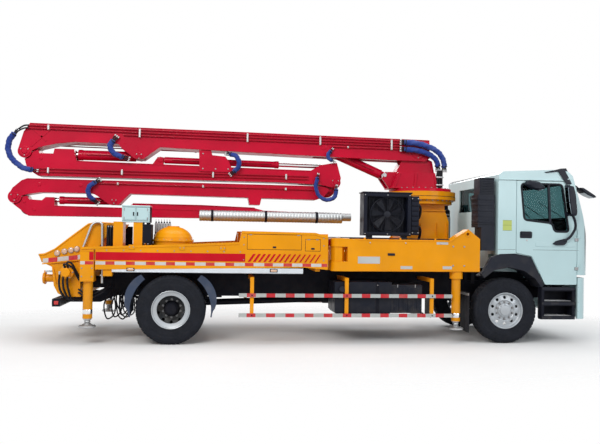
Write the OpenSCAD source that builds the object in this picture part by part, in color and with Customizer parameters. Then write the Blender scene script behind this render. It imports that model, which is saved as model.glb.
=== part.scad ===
// Truck mounted concrete pump with a four section folding boom, parked with the boom stowed.
// Lengths in millimetres. X runs forward, Y to the left, Z up; the ground is Z = 0.
// Inside the modules X is counted from the rear axle; placed() moves it to the middle of the vehicle.

/* [Chassis] */
// Distance between the two axles
wheelbase = 5565; // [5500:5:5600]
// Width over the cab, deck and outriggers
body_w = 2440; // [2400:10:2500]
// Width over the two frame rails
frame_w = 860; // [820:10:880]
// Height of a frame rail
rail_h = 300; // [260:5:310]
// Height of the top of the frame rails above the ground
frame_top = 1010; // [1000:2:1020]

/* [Wheels] */
// Outside radius of a tyre
tyre_r = 550; // [535:5:555]
// Width of one tyre
tyre_w = 285; // [260:5:290]
// Radius of a rim at the bead
rim_r = 292; // [280:2:300]
// Largest steering angle
steer_max = 35; // [20:1:36]

/* [Cab] */
// Height of the cab roof above the ground
roof_z = 2950; // [2920:5:2980]
// Thickness of the cab walls and doors
cab_wall = 60; // [50:2:66]
// Gap round a door
door_gap = 8; // [6:1:10]
// Thickness of the window glass
glass_t = 8; // [6:1:12]

/* [Boom] */
// Width of the first boom section
arm_1_w = 400; // [390:5:420]
// Width of the second boom section
arm_2_w = 340; // [335:5:350]
// Width of the third boom section
arm_3_w = 290; // [280:5:296]
// Width of the fourth boom section
arm_4_w = 240; // [230:5:250]
// Outside radius of the concrete line
line_r = 67; // [60:1:70]
// Running gap between a lug and its fork
fork_gap = 8; // [6:1:10]

/* [Outriggers] */
// Width of a swinging outrigger beam
swing_w = 230; // [200:5:240]
// Radius of a jack leg
leg_r = 74; // [66:1:78]
// Radius of a jack foot
foot_r = 130; // [110:5:140]
// Sideways travel of a rear outrigger beam
rear_reach = 600; // [400:10:620]

/* [Hidden] */
$fn = 48;

// The vehicle reaches from the tail of the boom to the front mirror
tail_tip = -2900;
nose_tip = 7230;
mid_x = (tail_tip + nose_tip) / 2;

run_gap = 0.05; // radial clearance of a pin in its bore
seat_gap = 0.3; // distance at which a moving piece rests on its seat
move_gap = 6; // distance kept between moving pieces
side_y = body_w / 2;
front_x = wheelbase;
rail_w = 80;
rail_z = frame_top - rail_h;
rail_rear = -1150;
rail_front = front_x + 1180;
tilt_pin = [front_x + 1350, 1060]; // hinge of the cab, [x, z]
tilt_pin_r = 25;
tilt_lug = 40;

// Boom pivots, each [x, z]
root_pin = [4300, 3300];
pin_a = [-2540, 3110];
pin_c = [2790, 2720];
pin_b = [-2698, 2340];
cheek_r = [210, 112, 96, 112]; // root, a, c, b
lug_r = [150, 88, 80, 90];
lug_y = [150, 104, 78, 62]; // half width of the lug inside each fork
pin_r = [60, 40, 35, 35];
tower_x = 4400;

// Cylinders: [base x, base z, eye x, eye z, barrel radius, rod radius, tube start, tube end, rod start, bore start]
lift_cyl = [3700, 2880, 2560, 3352, 85, 50, 60, 1140, 105, 98];
a_cyl = [-650, 3090, -1930, 3090, 86, 50, 72, 1040, 150, 130];
c_cyl = [-300, 3046, pin_c[0], 3010, 58, 36, 72, 2080, 300, 130];
b_cyl = [-1060, 2300, -2130, 2300, 62, 36, 68, 930, 150, 130];
eye_pin_r = 32;
eye_half = 34;

red = "crimson";
yellow = "goldenrod";
white = "aliceblue";
dark = "#26282c";

// Helpers

module placed() {
    translate([-mid_x, 0, 0]) children();
}

module both_sides() {
    children();
    mirror([0, 1, 0]) children();
}

// Plate with an outline given in X and Z, between two values of Y
module slab(pts, y0, y1) {
    translate([0, y1, 0]) rotate([90, 0, 0]) linear_extrude(y1 - y0) polygon(pts);
}

// Block between two corners
module block(a, b) {
    translate(a) cube([b[0] - a[0], b[1] - a[1], b[2] - a[2]]);
}

// Round bar across the vehicle
module bar_y(x, z, r, y0, y1) {
    translate([x, y1, z]) rotate([90, 0, 0]) cylinder(r = r, h = y1 - y0);
}

// Round bar along the vehicle
module bar_x(x0, x1, y, z, r) {
    translate([x0, y, z]) rotate([0, 90, 0]) cylinder(r = r, h = x1 - x0);
}

// Upright round bar
module bar_z(x, y, r, z0, z1) {
    translate([x, y, z0]) cylinder(r = r, h = z1 - z0);
}

// Round bar between two points of a plane Y = y, each [x, z]
module bar_xz(a, b, y, r) {
    d = [b[0] - a[0], b[1] - a[1]];
    translate([a[0], y, a[1]]) rotate([0, atan2(d[0], d[1]), 0]) cylinder(r = r, h = norm(d));
}

// Points of an arc in X and Z
function arc(c, r, a0, a1, n) = [for (i = [0:n]) let (a = a0 + (a1 - a0) * i / n)
    [c[0] + r * cos(a), c[1] + r * sin(a)]];

// A convex outline, given counter clockwise, moved inward by d
function edge_line(p, q, d) = let (u = (q - p) / norm(q - p), n = [-u[1], u[0]]) [p + n * d, u];
function cross_at(l, m) = let (det = l[1][0] * m[1][1] - l[1][1] * m[1][0], w = m[0] - l[0])
    l[0] + l[1] * (w[0] * m[1][1] - w[1] * m[1][0]) / det;
function inset(pts, d) = [for (i = [0:len(pts) - 1])
    let (n = len(pts), a = pts[(i + n - 1) % n], b = pts[i], c = pts[(i + 1) % n])
    cross_at(edge_line(a, b, d), edge_line(b, c, d))];

// Chassis

module frame_rails() {
    y = frame_w / 2;
    placed() color("dimgray") {
        both_sides() difference() {
            block([rail_rear, y - rail_w, rail_z], [rail_front, y, frame_top]);
            block([rail_rear - 1, y - rail_w - 1, rail_z + 10], [rail_front + 1, y - 10, frame_top - 10]);
        }
        for (x = [-900, 900, 1900, 3000, 4000, front_x - 1100, front_x + 1000])
            block([x - 60, -y + 10, rail_z + 60], [x + 60, y - 10, frame_top - 60]);
        // Lugs that carry the cab hinge
        both_sides() {
            slab([[tilt_pin[0] - 260, frame_top - 60], [tilt_pin[0] - tilt_lug, tilt_pin[1] - tilt_lug],
                [tilt_pin[0] + tilt_lug, tilt_pin[1] - tilt_lug], [tilt_pin[0] + tilt_lug, tilt_pin[1] + tilt_lug],
                [tilt_pin[0] - tilt_lug, tilt_pin[1] + tilt_lug], [tilt_pin[0] - 260, frame_top]],
                y - 60, y - 20);
            bar_y(tilt_pin[0], tilt_pin[1], tilt_pin_r, tilt_ear_y[0] - 10, y - 20);
        }
        // Posts that the rear of the cab rests on
        both_sides() block([front_x - 170, y - rail_w + 12, frame_top - 10], [front_x - 110, y, cab_z[0] - 2 - seat_gap]);
    }
}

// Leaf spring pack with its hangers: centre x, half length, height of its middle, rise of its ends
leaf_t = 16;

module spring_pack(x, half, z, rise, leaves) {
    y = frame_w / 2 - rail_w / 2;
    for (i = [0:leaves - 1]) {
        reach = half - 70 * i;
        z0 = z - leaf_t * i;
        slab(concat([for (s = [-1, -0.6, 0, 0.6, 1]) [x + s * reach, z0 + rise * s * s]],
            [for (s = [1, 0.6, 0, -0.6, -1]) [x + s * reach, z0 + rise * s * s + leaf_t + 0.5]]), y - 40, y + 40);
    }
    for (s = [-1, 1]) slab([[x + s * half - 45, z + rise - 5], [x + s * half + 45, z + rise - 5],
        [x + s * half + 60, rail_z + 60], [x + s * half - 60, rail_z + 60]], y + 40, y + 46);
}

module front_axle() {
    x = front_x;
    placed() color("dimgray") {
        block([x - 45, -610, 430], [x + 45, 610, 530]);
        both_sides() {
            difference() {
                slab_h([[600, 430], [680, 490], [775, 490], [775, 610], [680, 610], [600, 530]], x - 45, x + 45);
                bar_z(x, king_y, king_r + run_gap, 400, 700);
            }
            spring_pack(x, 720, 600, 50, 4);
            block([x - 60, 345, 520], [x + 60, 435, 555]);
        }
    }
}

// Plate with an outline given in Y and Z, between two values of X
module slab_h(pts, x0, x1) {
    translate([x0, 0, 0]) rotate([90, 0, 90]) linear_extrude(x1 - x0) polygon(pts);
}

hub_r = 58;
rear_inner = 610;

module rear_axle() {
    placed() color("dimgray") {
        bar_y(0, tyre_r, 80, -rear_inner + 20, rear_inner - 20);
        bar_y(0, tyre_r, hub_r, -rear_y - 95, rear_y + 95);
        translate([0, 0, tyre_r]) sphere(r = 205);
        bar_x(150, 330, 0, tyre_r, 90);
        both_sides() {
            spring_pack(0, 760, 664, 25, 3);
            block([-70, 345, tyre_r + 60], [70, 435, 634]);
        }
        // Propeller shaft
        bar_xz([320, tyre_r], [front_x - 995, 700], 0, 55);
    }
}

module engine_block() {
    placed() color("gray") {
        block([front_x - 990, -340, 640], [front_x + 700, 340, 1160]);
        for (x = [front_x - 600, front_x + 400]) block([x - 50, -400, frame_top], [x + 50, 400, frame_top + 40]);
    }
}

// Bumper with the steps below the doors
bumper_z = [420, 1120];

module front_bumper() {
    x0 = front_x + 1255;
    x1 = front_x + 1435;
    bend_r = 160;
    placed() {
        color(white) difference() {
            linear_between(bumper_z[0], bumper_z[1]) {
                square_between([x0, -side_y + bend_r], [x1, side_y - bend_r]);
                square_between([x0, -side_y], [x1 - bend_r, side_y]);
                for (s = [-1, 1]) translate([x1 - bend_r, s * (side_y - bend_r)]) circle(r = bend_r);
            }
            block([x0 - 1, -side_y + 60, bumper_z[0] - 1], [x1 - 40, side_y - 60, bumper_z[1] + 1]);
            block([x1 - 3 * bend_r, -side_y - 1, bumper_z[0] - 1], [x0, side_y + 1, bumper_z[1] + 1]);
            slab([[x1 - 41, bumper_z[1] + 1], [x1 + 1, bumper_z[1] + 1], [x1 + 1, bumper_z[1] - 40]], -side_y, side_y);
            both_sides() block([x1 - 60, 640, 560], [x1 + 1, side_y - 150, 690]);
        }
        color("dimgray") both_sides() {
            block([rail_front, frame_w / 2 - 60, 760], [x1 - 38, frame_w / 2, 900]);
        }
        color(dark) both_sides() difference() {
            slab_z([[front_x + 705, side_y - 330], [front_x + 1215, side_y - 330], [front_x + 1215, side_y - 10],
                [front_x + 612, side_y - 10], [front_x + 612, side_y - 120]], 410, 950);
            for (z = [470, 720]) block([front_x + 660, side_y - 250, z], [front_x + 1165, side_y, z + 170]);
        }
        color("dimgray") both_sides()
            block([front_x + 700, frame_w / 2, 860], [front_x + 760, side_y - 330, 930]);
    }
}

module linear_between(z0, z1) {
    translate([0, 0, z0]) linear_extrude(z1 - z0) children();
}

module square_between(a, b) {
    translate(a) square([b[0] - a[0], b[1] - a[1]]);
}

// Outlines of the front wheel arch, counted from the front axle
arch_outer = [[-455, 1170], [-285, 1450], [-130, 1500], [125, 1510], [415, 1460], [655, 990]];
arch_inner = [[605, 950], [495, 1100], [295, 1230], [35, 1285], [-235, 1230], [-405, 1100]];

module mudguards() {
    placed() color("#8d979e") {
        color(dark) both_sides() {
            slab([for (p = concat(arch_outer, arch_inner)) [p[0] + front_x, p[1]]], side_y - 90, side_y - 5);
            slab([for (p = concat([for (q = arch_inner) q + [0, 30]],
                [for (i = [5:-1:0]) arch_inner[i]])) [p[0] + front_x, p[1]]], side_y - 390, side_y - 90);
            block([front_x - 330, frame_w / 2, 1215], [front_x - 270, side_y - 380, 1250]);
            block([front_x - 330, frame_w / 2, frame_top - 60], [front_x - 270, frame_w / 2 + 12, 1250]);
        }
        both_sides() {
            for (s = [-1, 1]) slab(concat(
                arc([0, tyre_r], tyre_r + 90, 90 + s * 48, 90 + s * 96, 8),
                arc([0, tyre_r], tyre_r + 96, 90 + s * 96, 90 + s * 48, 8)), rear_inner, side_y - 15);
            for (s = [-1, 1]) bar_y(s * 560, tyre_r + 312, 20, frame_w / 2, rear_inner + 300);
        }
    }
}

// Fuel tank on the right, battery and air tanks on the left
module tanks() {
    placed() {
        color("slategray") {
            slab([[2640, 520], [2680, 480], [3560, 480], [3600, 520], [3600, 1010], [2640, 1010]],
                -side_y + 110, -frame_w / 2 - 60);
            slab([[2640, 560], [2700, 500], [3300, 500], [3300, 1010], [2640, 1010]],
                frame_w / 2 + 60, side_y - 110);
        }
        color(dark) {
            block([3590, -side_y + 120, 500], [4120, -frame_w / 2 - 60, 960]);
            for (z = [620, 860]) bar_x(3380, 4120, side_y - 260, z, 110);
        }
        color("dimgray") both_sides() for (x = [2800, 3450, 3900])
            block([x - 30, frame_w / 2, 700], [x + 30, frame_w / 2 + (x < 3400 ? 130 : 500), 900]);
    }
}

// Side and rear guards
guard_z = [440, 760];

module guard_rails() {
    y = side_y - 20;
    placed() color("firebrick") {
        both_sides() {
            for (z = guard_z) block([1070, y - 25, z], [4610, y, z + 60]);
            color(yellow) for (x = [1250, 2800, 4240])
                block([x, y - 65, guard_z[0]], [x + 60, y - 25, 1080]);
            color(yellow) for (x = [1250, 2800, 4240])
                block([x, frame_w / 2, 1020], [x + 60, y - 25, 1080]);
        }
        block([-1830, -1100, 590], [-1710, 1100, 710]);
        color("dimgray") both_sides() slab([[-1720, 600], [-1200, 600], [-900, 730], [-900, 800], [-1150, 800],
            [-1300, 705], [-1720, 705]], frame_w / 2, frame_w / 2 + 16);
    }
}

// Deck: the yellow frame that carries the pump, its side panels and boxes, and the outrigger supports
deck_z = 1300;
deck_rear = -1390;
box_front = 2500;
box_top = 1820;
swing_pin = [2680, side_y - 20 - swing_w / 2];
swing_pin_r = 40;
swing_z = [1190, 1720];
housing_x = [-1420, -1180];
housing_z = [1180, 1440];

module deck() {
    placed() color(yellow) {
        difference() {
            union() {
                both_sides() {
                    block([-1100, frame_w / 2 - rail_w, frame_top], [4820, frame_w / 2, 1180]);
                    for (x = [-700, 300, 1300, 2300])
                        block([x, frame_w / 2 - rail_w, 1180], [x + 80, side_y - 60, deck_z - 20]);
                    // Side panel with the raised rim and the box behind the front outrigger
                    slab([[deck_rear + 220, 1180], [2120, 1245], [box_front, 1210], [box_front, 1750],
                        [2290, box_top - 10], [1100, box_top], [1060, 1640], [310, 1600], [deck_rear + 220, 1530]],
                        side_y - 40, side_y);
                }
                block([-1170, -side_y + 30, deck_z - 20], [2450, side_y - 30, deck_z]);
                both_sides() difference() {
                    block([1100, 720, deck_z], [box_front, side_y - 20, box_top - 30]);
                    block([1130, 750, deck_z + 20], [box_front + 1, side_y - 60, box_top - 60]);
                }
                // Cross box that carries the pedestal and the outrigger pins
                block([2620, -620, 1180], [4700, 620, 1500]);
                both_sides() difference() {
                    slab_z([[2620, 600], [2800, 600], [swing_pin[0] + 110, swing_pin[1]],
                        [swing_pin[0] + 60, swing_pin[1] + 95], [swing_pin[0] - 60, swing_pin[1] + 95],
                        [swing_pin[0] - 110, swing_pin[1]]], swing_z[0] + 160, swing_z[1] - 130);
                    bar_z(swing_pin[0], swing_pin[1], swing_pin_r + run_gap, swing_z[0], swing_z[1]);
                }
            }
            // Well between the rails that holds the delivery cylinders
            block([-1180, -280, 1100], [1450, 280, 1290]);
        }
        both_sides() block([-1110, frame_w / 2 - rail_w, frame_top + 5], [-1090, 760, deck_z]);
    }
}

// Housing of the rear outrigger beams, carried by the rear plate of the deck
module beam_housing() {
    placed() color(yellow) {
        difference() {
            block([housing_x[0], -900, housing_z[0]], [housing_x[1], 900, housing_z[1]]);
            block([housing_x[0] + 20, -901, housing_z[0] + 20], [housing_x[1] - 20, 901, housing_z[1] - 20]);
        }
        both_sides() block([housing_x[1] - 10, 560, housing_z[0]], [-1110, 760, deck_z - 20]);
    }
}

// Plate with an outline given in X and Y, between two values of Z
module slab_z(pts, z0, z1) {
    translate([0, 0, z0]) linear_extrude(z1 - z0) polygon(pts);
}

// Hopper: two side walls, a sloping rear wall, a trough and a front wall
hopper_y = 900;
hopper_wall = 16;
hopper_out = [[-1440, 725], [-1440, 1470], [-1180, 1510], [-930, 1900], [-1200, 1910], [-1340, 1880],
    [-1630, 1650], [-1850, 1470], [-2020, 1385], [-2100, 1390], [-2040, 1270], [-1890, 1200],
    [-1855, 900], [-1790, 780], [-1690, 725]];
hopper_in = [[-1456, 741], [-1456, 1484], [-1190, 1525], [-944, 1912], [-1200, 1950], [-1340, 1900],
    [-1630, 1670], [-1850, 1490], [-2020, 1405], [-2070, 1392], [-2024, 1286], [-1873, 1213],
    [-1839, 904], [-1778, 793], [-1685, 741]];

module hopper() {
    placed() color(yellow) {
        difference() {
            slab(hopper_out, -hopper_y, hopper_y);
            slab(hopper_in, -hopper_y + hopper_wall, hopper_y - hopper_wall);
            bar_y(shaft_x, shaft_z, shaft_r + run_gap, -hopper_y - 1, hopper_y + 1);
            bar_x(-2200, -1700, 0, outlet_z, line_r + run_gap);
        }
        both_sides() block([-1445, frame_w / 2, 840], [-1000, frame_w / 2 + 16, 980]);
    }
}

shaft_x = -1640;
shaft_z = 1120;
shaft_r = 30;
outlet_z = 960;

module hopper_grate() {
    a = [-2000, 1400];
    b = [-1010, 1905];
    u = (b - a) / norm(b - a);
    n = [-u[1], u[0]];
    placed() color("dimgray") {
        for (i = [-8:8]) slab([a - n * 30, b - n * 30, b + n * 10, a + n * 10], i * 96 - 5, i * 96 + 5);
        // Cross bars that carry the grille bars
        for (t = [0.04, 0.35, 0.66, 0.97])
            slab([for (c = [[-12, -50], [12, -50], [12, -30.4], [-12, -30.4]]) a + (b - a) * t + u * c[0] + n * c[1]],
                -hopper_y + hopper_wall + 0.3, hopper_y - hopper_wall - 0.3);
    }
}

module agitator() {
    placed() color("dimgray") {
        bar_y(shaft_x, shaft_z, shaft_r, -hopper_y - 60, hopper_y + 60);
        for (y = [-660, -330, 330, 660]) for (s = [-1, 1])
            block([shaft_x - 12, y - 60, shaft_z + (s > 0 ? 20 : -150)], [shaft_x + 12, y + 60, shaft_z + (s > 0 ? 150 : -20)]);
        both_sides() {
            bar_y(shaft_x, shaft_z, 95, hopper_y + 0.3, hopper_y + 60);
            bar_y(shaft_x, shaft_z, 65, hopper_y + 60, hopper_y + 190);
        }
    }
}

// Outlet pipe, delivery cylinders, water box, driving cylinders and the line to the pedestal
cyl_y = 150;
cyl_z = 1190;

module pump_unit() {
    placed() {
        color("silver") both_sides() {
            bar_x(-1150, 701, cyl_y, cyl_z, 85);
            bar_x(1049, 1430, cyl_y, cyl_z, 55);
        }
        color(yellow) {
            block([700, -250, 1110], [1050, 250, 1290]);
            block([-1170, -250, 1110], [-1130, 250, 1275]);
        }
    }
}

module outlet_pipe() {
    placed() color("firebrick") {
        bar_x(-2210, -1700, 0, outlet_z, line_r);
        bar_x(-2230, -2190, 0, outlet_z, line_r + 25);
    }
}

deck_line_y = 520;
deck_line_z = [deck_z + 110, 1640];

module deck_line() {
    y = deck_line_y;
    z = deck_line_z;
    placed() color("firebrick") {
        pipe_run([[-1100, y, z[0]], [2440, y, z[0]], [2440, y, z[1]], [tower_x, y, z[1]], [tower_x, 440, z[1]]], line_r, 75);
        for (x = [-1100, 300, 1500, 2250]) bar_x(x, x + 40, y, z[0], line_r + 18);
        for (x = [-300, 900, 2000]) block([x, y - 20, deck_z], [x + 40, y + 20, z[0] - line_r + 10]);
    }
}

// Valve stand and white control box on the deck
module controls() {
    placed() {
        color("whitesmoke") block([-790, -1130, 1930], [-360, -760, 2190]);
        color(yellow) {
            block([-920, -1120, deck_z], [-770, -800, 1935]);
            block([-610, -1120, deck_z], [-470, -800, 1935]);
        }
        color(dark) {
            block([-360, -1120, deck_z], [-330, -800, 1900]);
            block([-475, -1120, 1600], [-350, -820, 1900]);
        }
    }
}

// Round filter housing with its domed lid
module filter_housing() {
    r = 320;
    placed() color(yellow) translate([-10, -760, deck_z]) rotate_extrude()
        polygon(concat([[0, 0], [r, 0]], [for (a = [0:15:90]) [r * cos(a), 340 + 240 * sin(a)]]));
}

module oil_cooler() {
    placed() color("#1d2430") {
        difference() {
            block([3140, -960, 1780], [3960, -660, 2500]);
            block([3200, -961, 1840], [3900, -820, 2440]);
        }
        for (x = [3200, 3800]) {
            block([x, -930, 1500], [x + 100, -560, 1520]);
            block([x, -930, 1510], [x + 100, -860, 1790]);
        }
    }
}

// Pedestal with the slewing ring
ring_r = 640;
ring_z = 2580;

module pedestal() {
    placed() color(yellow) {
        difference() {
            union() {
                slab([[3990, 1500], [4820, 1500], [4820, 2050], [4740, 2260], [4740, 2400], [4060, 2400], [4060, 2260],
                    [3990, 2050]], -400, 400);
                bar_z(tower_x, 0, ring_r - 60, 2360, 2430);
                bar_z(tower_x, 0, ring_r, 2430, ring_z);
            }
            bar_z(tower_x, 0, 150, 2100, ring_z + 1);
        }
        both_sides() slab([[3700, 1500], [4700, 1500], [4700, 1640], [4500, 1900], [4100, 1900]], 400, 440);
    }
}

module intake_tower() {
    x = front_x - 515;
    placed() color(dark) {
        block([x + 60, -side_y + 40, 1560], [x + 290, -side_y + 330, 1960]);
        block([x, -side_y + 40, 1950], [x + 290, -side_y + 330, 2500]);
        block([x + 30, -side_y + 60, 2490], [x + 290, -side_y + 310, 2770]);
        block([x + 60, -side_y + 320, 1560], [x + 120, side_y - 280, 1620]);
        color("dimgray") bar_z(x + 160, side_y - 330, 90, 1500, 2300);
        color("dimgray") both_sides() block([x + 60, frame_w / 2 - 60, frame_top], [x + 120, frame_w / 2 - 10, 1570]);
    }
}

// Cab. Its side outline runs counter clockwise from the bottom of the rear wall, counted from the front axle
cab_z = [1200, 1160];
cab_side = [[-175, cab_z[0]], [1495, cab_z[1]], [1480, 1560], [1435, 1870], [1375, 2090],
    [1150, roof_z - 100], [1060, roof_z - 20], [800, roof_z], [-100, roof_z - 50], [-175, roof_z - 100]];
cab_corner = 230;
floor_z = 1545;
windscreen_z = [2140, roof_z - 150];
windscreen_y = 1020;
rear_window = [600, 2250, 2680];
door_out = [[670, 1000], [1235, 1000], [1235, 1900], [1040, 2750], [150, 2750], [150, 1530], [430, 1478]];
door_window = [[285, 2090], [785, 2040], [825, 1900], [1085, 1900], [955, 2705], [225, 2700]];
door_hinge = [front_x + 1243, side_y + 13];
hinge_z = [1250, 1740];
tilt_ear_y = [300, 360];

function from_axle(pts) = [for (p = pts) [p[0] + front_x, p[1]]];

module cab_block(shrink) {
    intersection() {
        slab(from_axle(inset(cab_side, shrink)), -side_y, side_y);
        linear_between(900, roof_z + 50) translate([front_x, 0]) {
            x1 = cab_side[1][0] - shrink;
            y1 = side_y - shrink;
            square_between([-200, -y1], [x1 - cab_corner, y1]);
            square_between([x1 - cab_corner - 1, -y1 + cab_corner], [x1, y1 - cab_corner]);
            for (s = [-1, 1]) translate([x1 - cab_corner, s * (y1 - cab_corner)]) circle(r = cab_corner);
        }
    }
}

// Band through the windscreen, between two depths measured inward from the outside of the wall
module windscreen_band(d0, d1, y) {
    a = [1375, 2090];
    b = [1150, roof_z - 100];
    u = (b - a) / norm(b - a);
    n = [u[1], -u[0]];
    function on(z, d) = let (p = a - n * d, t = (z - p[1]) / u[1]) p + u * t;
    slab(from_axle([on(windscreen_z[0], d1), on(windscreen_z[0], d0),
        on(windscreen_z[1], d0), on(windscreen_z[1], d1)]), -y, y);
}

module cab_shell() {
    placed() color(white) {
        difference() {
            cab_block(0);
            intersection() {
                cab_block(cab_wall);
                block([front_x - 200, -side_y, floor_z], [front_x + 1600, side_y, roof_z]);
            }
            windscreen_band(-100, cab_wall + 60, windscreen_y);
            block([front_x - 200, -rear_window[0], rear_window[1]],
                [front_x - 175 + cab_wall + 5, rear_window[0], rear_window[2]]);
            // Channel over the engine
            block([front_x - 200, -360, 1100], [front_x + 760, 360, 1290]);
            both_sides() {
                slab(from_axle(inset(door_out, -door_gap)), side_y - cab_wall - move_gap, side_y + 1);
                slab(from_axle(inset(concat(arch_outer, [[655, 800], [-455, 800]]), 8)), side_y - 400, side_y + 1);
                // Well in front of the door foot, over the steps
                block([front_x + 600, side_y - 400, 1100], [front_x + 1243, side_y + 1, 1180]);
            }
        }
        // Ears on the tilt pin
        both_sides() difference() {
            slab([for (q = [[-38, -10], [-10, -38], [20, -32], [38, 0], [24, 29], [-95, 118], [-190, 118]]) tilt_pin + q],
                tilt_ear_y[0], tilt_ear_y[1]);
            bar_y(tilt_pin[0], tilt_pin[1], tilt_pin_r + run_gap, 0, side_y);
        }
        both_sides() for (z = hinge_z) {
            bar_z(door_hinge[0], door_hinge[1], 11, z + 50 + seat_gap, z + 110);
            block([door_hinge[0], side_y - 2, z + 50 + seat_gap], [door_hinge[0] + 40, door_hinge[1], z + 110]);
        }
    }
}

module cab_glass() {
    placed() color("lightblue", 0.5) {
        windscreen_band(20, 20 + glass_t, windscreen_y);
        block([front_x - 175 + 25, -rear_window[0], rear_window[1]],
            [front_x - 175 + 25 + glass_t, rear_window[0], rear_window[2]]);
    }
}

module cab_interior() {
    placed() color("#4a4d52") {
        for (y = [-600, 600]) {
            block([front_x + 260, y - 200, floor_z], [front_x + 620, y + 200, floor_z + 300]);
            block([front_x + 220, y - 250, floor_z + 300], [front_x + 730, y + 250, floor_z + 430]);
            slab(from_axle([[220, floor_z + 430], [350, floor_z + 430], [240, floor_z + 1050], [130, floor_z + 1050]]),
                y - 240, y + 240);
        }
        slab(from_axle([[1050, floor_z], [1380, floor_z], [1290, 2085], [1130, 2085], [1010, 1960]]),
            -side_y + 240, side_y - 240);
        block([front_x - 115, -280, floor_z], [front_x + 900, 280, floor_z + 230]);
        // Steering column and wheel on the left
        bar_xz([front_x + 1040, 1950], [front_x + 885, 2140], 600, 28);
        translate([front_x + 890, 600, 2135]) rotate([0, -39, 0]) {
            rotate_extrude() translate([215, 0]) circle(r = 16, $fn = 16);
            for (a = [0, 120, 240]) rotate([0, 0, a]) translate([0, -14, -8]) cube([212, 28, 16]);
            cylinder(r = 55, h = 24, center = true);
        }
    }
}

visor_a = [1060, roof_z - 20];
visor_b = [1150, roof_z - 100];

module cab_trim() {
    foot = visor_a + (visor_b - visor_a) * 0.45;
    placed() color(dark) {
        slab(from_axle([visor_a, foot, foot + [25, 0], [1262, 2740], [1292, 2750], [1105, roof_z - 2]]), -1050, 1050);
        // Lower grille panel in front of the cab
        slab(from_axle([[1487.5, 1360], [1500, 1360], [1487, 1560], [1480, 1560]]), -760, 760);
        // Front mirror on its arms
        bar_xz([front_x + 1278, 2742], [front_x + 1600, 2642], -980, 14);
        block([front_x + 1575, -1100, 2420], [nose_tip, -900, 2650]);
    }
}

module door(s) {
    mirror([0, s > 0 ? 0 : 1, 0]) placed() {
        color(white) {
            difference() {
                slab(from_axle(door_out), side_y - cab_wall, side_y);
                slab(from_axle(door_window), side_y - cab_wall - 1, side_y + 1);
            }
            for (z = hinge_z) {
                bar_z(door_hinge[0], door_hinge[1], 11, z, z + 50);
                block([door_hinge[0] - 50, side_y - 2, z], [door_hinge[0], door_hinge[1], z + 50]);
            }
        }
        color(dark) {
            block([front_x + 235, side_y - 2, 1800], [front_x + 395, side_y + 30, 1860]);
            // Mirror on two arms
            for (z = [2200, 2660]) {
                block([front_x + 1020, side_y - 2, z - 12], [front_x + 1050, side_y + 150, z + 12]);
            }
            block([front_x + 975, side_y + 60, 2210], [front_x + 1145, side_y + 200, 2650]);
            block([front_x + 1020, side_y + 100, 2188], [front_x + 1050, side_y + 150, 2672]);
        }
    }
}

module door_right() { door(-1); }
module door_left() { door(1); }

module door_glass(s) {
    mirror([0, s > 0 ? 0 : 1, 0]) placed() color("lightblue", 0.5)
        slab(from_axle(door_window), side_y - 35, side_y - 35 + glass_t);
}

module door_glass_right() { door_glass(-1); }
module door_glass_left() { door_glass(1); }

// Steering knuckles and wheels
king_y = 750;
king_r = 22;
spindle_r = 45;
front_y = side_y - 50 - tyre_w / 2;
dual_gap = 30;
rear_y = side_y - 20 - tyre_w - dual_gap / 2;

module knuckle(s) {
    mirror([0, s > 0 ? 0 : 1, 0]) placed() color("dimgray") {
        bar_z(front_x, king_y, king_r, 440, 660);
        for (z = [[440, 490 - seat_gap], [610 + seat_gap, 660]])
            for (k = [0, 1]) {
                if (k == 0) bar_z(front_x, king_y, 48, z[0], z[1]);
                if (k == 1) block([front_x - 48, king_y, z[0]], [front_x + 48, king_y + 90, z[1]]);
            }
        block([front_x - 48, king_y + 60, 440], [front_x + 48, king_y + 90, 660]);
        bar_y(front_x, tyre_r, 190, king_y + 88, king_y + 160);
        bar_y(front_x, tyre_r, spindle_r, king_y + 60, front_y + 95);
        block([front_x - 200, king_y - 60, 436], [front_x - 30, king_y - 20, 456]);
    }
}

module knuckle_right() { knuckle(-1); }
module knuckle_left() { knuckle(1); }

module revolve_y(x, y, z, pts) {
    translate([x, y, z]) rotate([-90, 0, 0]) rotate_extrude($fn = 72) polygon(pts);
}

module tyre(x, y) {
    h = tyre_w / 2;
    color(dark) revolve_y(x, y, tyre_r, [[rim_r, -h + 28], [rim_r + 40, -h + 8], [(rim_r + tyre_r) / 2 - 10, -h],
        [tyre_r - 60, -h + 8], [tyre_r - 12, -h + 26], [tyre_r, -h + 52], [tyre_r, h - 52], [tyre_r - 12, h - 26],
        [tyre_r - 60, h - 8], [(rim_r + tyre_r) / 2 - 10, h], [rim_r + 40, h - 8], [rim_r, h - 28]]);
}

module rim_holes(x, y, count, pitch_r, hole_r) {
    for (i = [0:count - 1]) rotate_y_about(x, i * 360 / count) bar_y(x + pitch_r, tyre_r, hole_r, y - 60, y + 60);
}

module rotate_y_about(x, a) {
    translate([x, 0, tyre_r]) rotate([0, a, 0]) translate([-x, 0, -tyre_r]) children();
}

module wheel_front(s) {
    h = tyre_w / 2;
    mirror([0, s > 0 ? 0 : 1, 0]) placed() {
        tyre(front_x, front_y);
        color("silver") difference() {
            union() {
                revolve_y(front_x, front_y, tyre_r, [[rim_r - 12, -h + 22], [rim_r, -h + 22], [rim_r, h - 22], [rim_r - 12, h - 22]]);
                revolve_y(front_x, front_y, tyre_r, [[0, 62], [150, 62], [180, 78], [rim_r - 6, 70], [rim_r - 6, 84], [176, 92], [145, 76],
                    [115, 76], [105, 128], [0, 128]]);
                bar_y(front_x, tyre_r, 90, front_y + 10, front_y + 62);
            }
            bar_y(front_x, tyre_r, spindle_r + run_gap, front_y - 100, front_y + 100);
            rim_holes(front_x, front_y + 70, 10, 225, 24);
        }
    }
}

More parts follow.
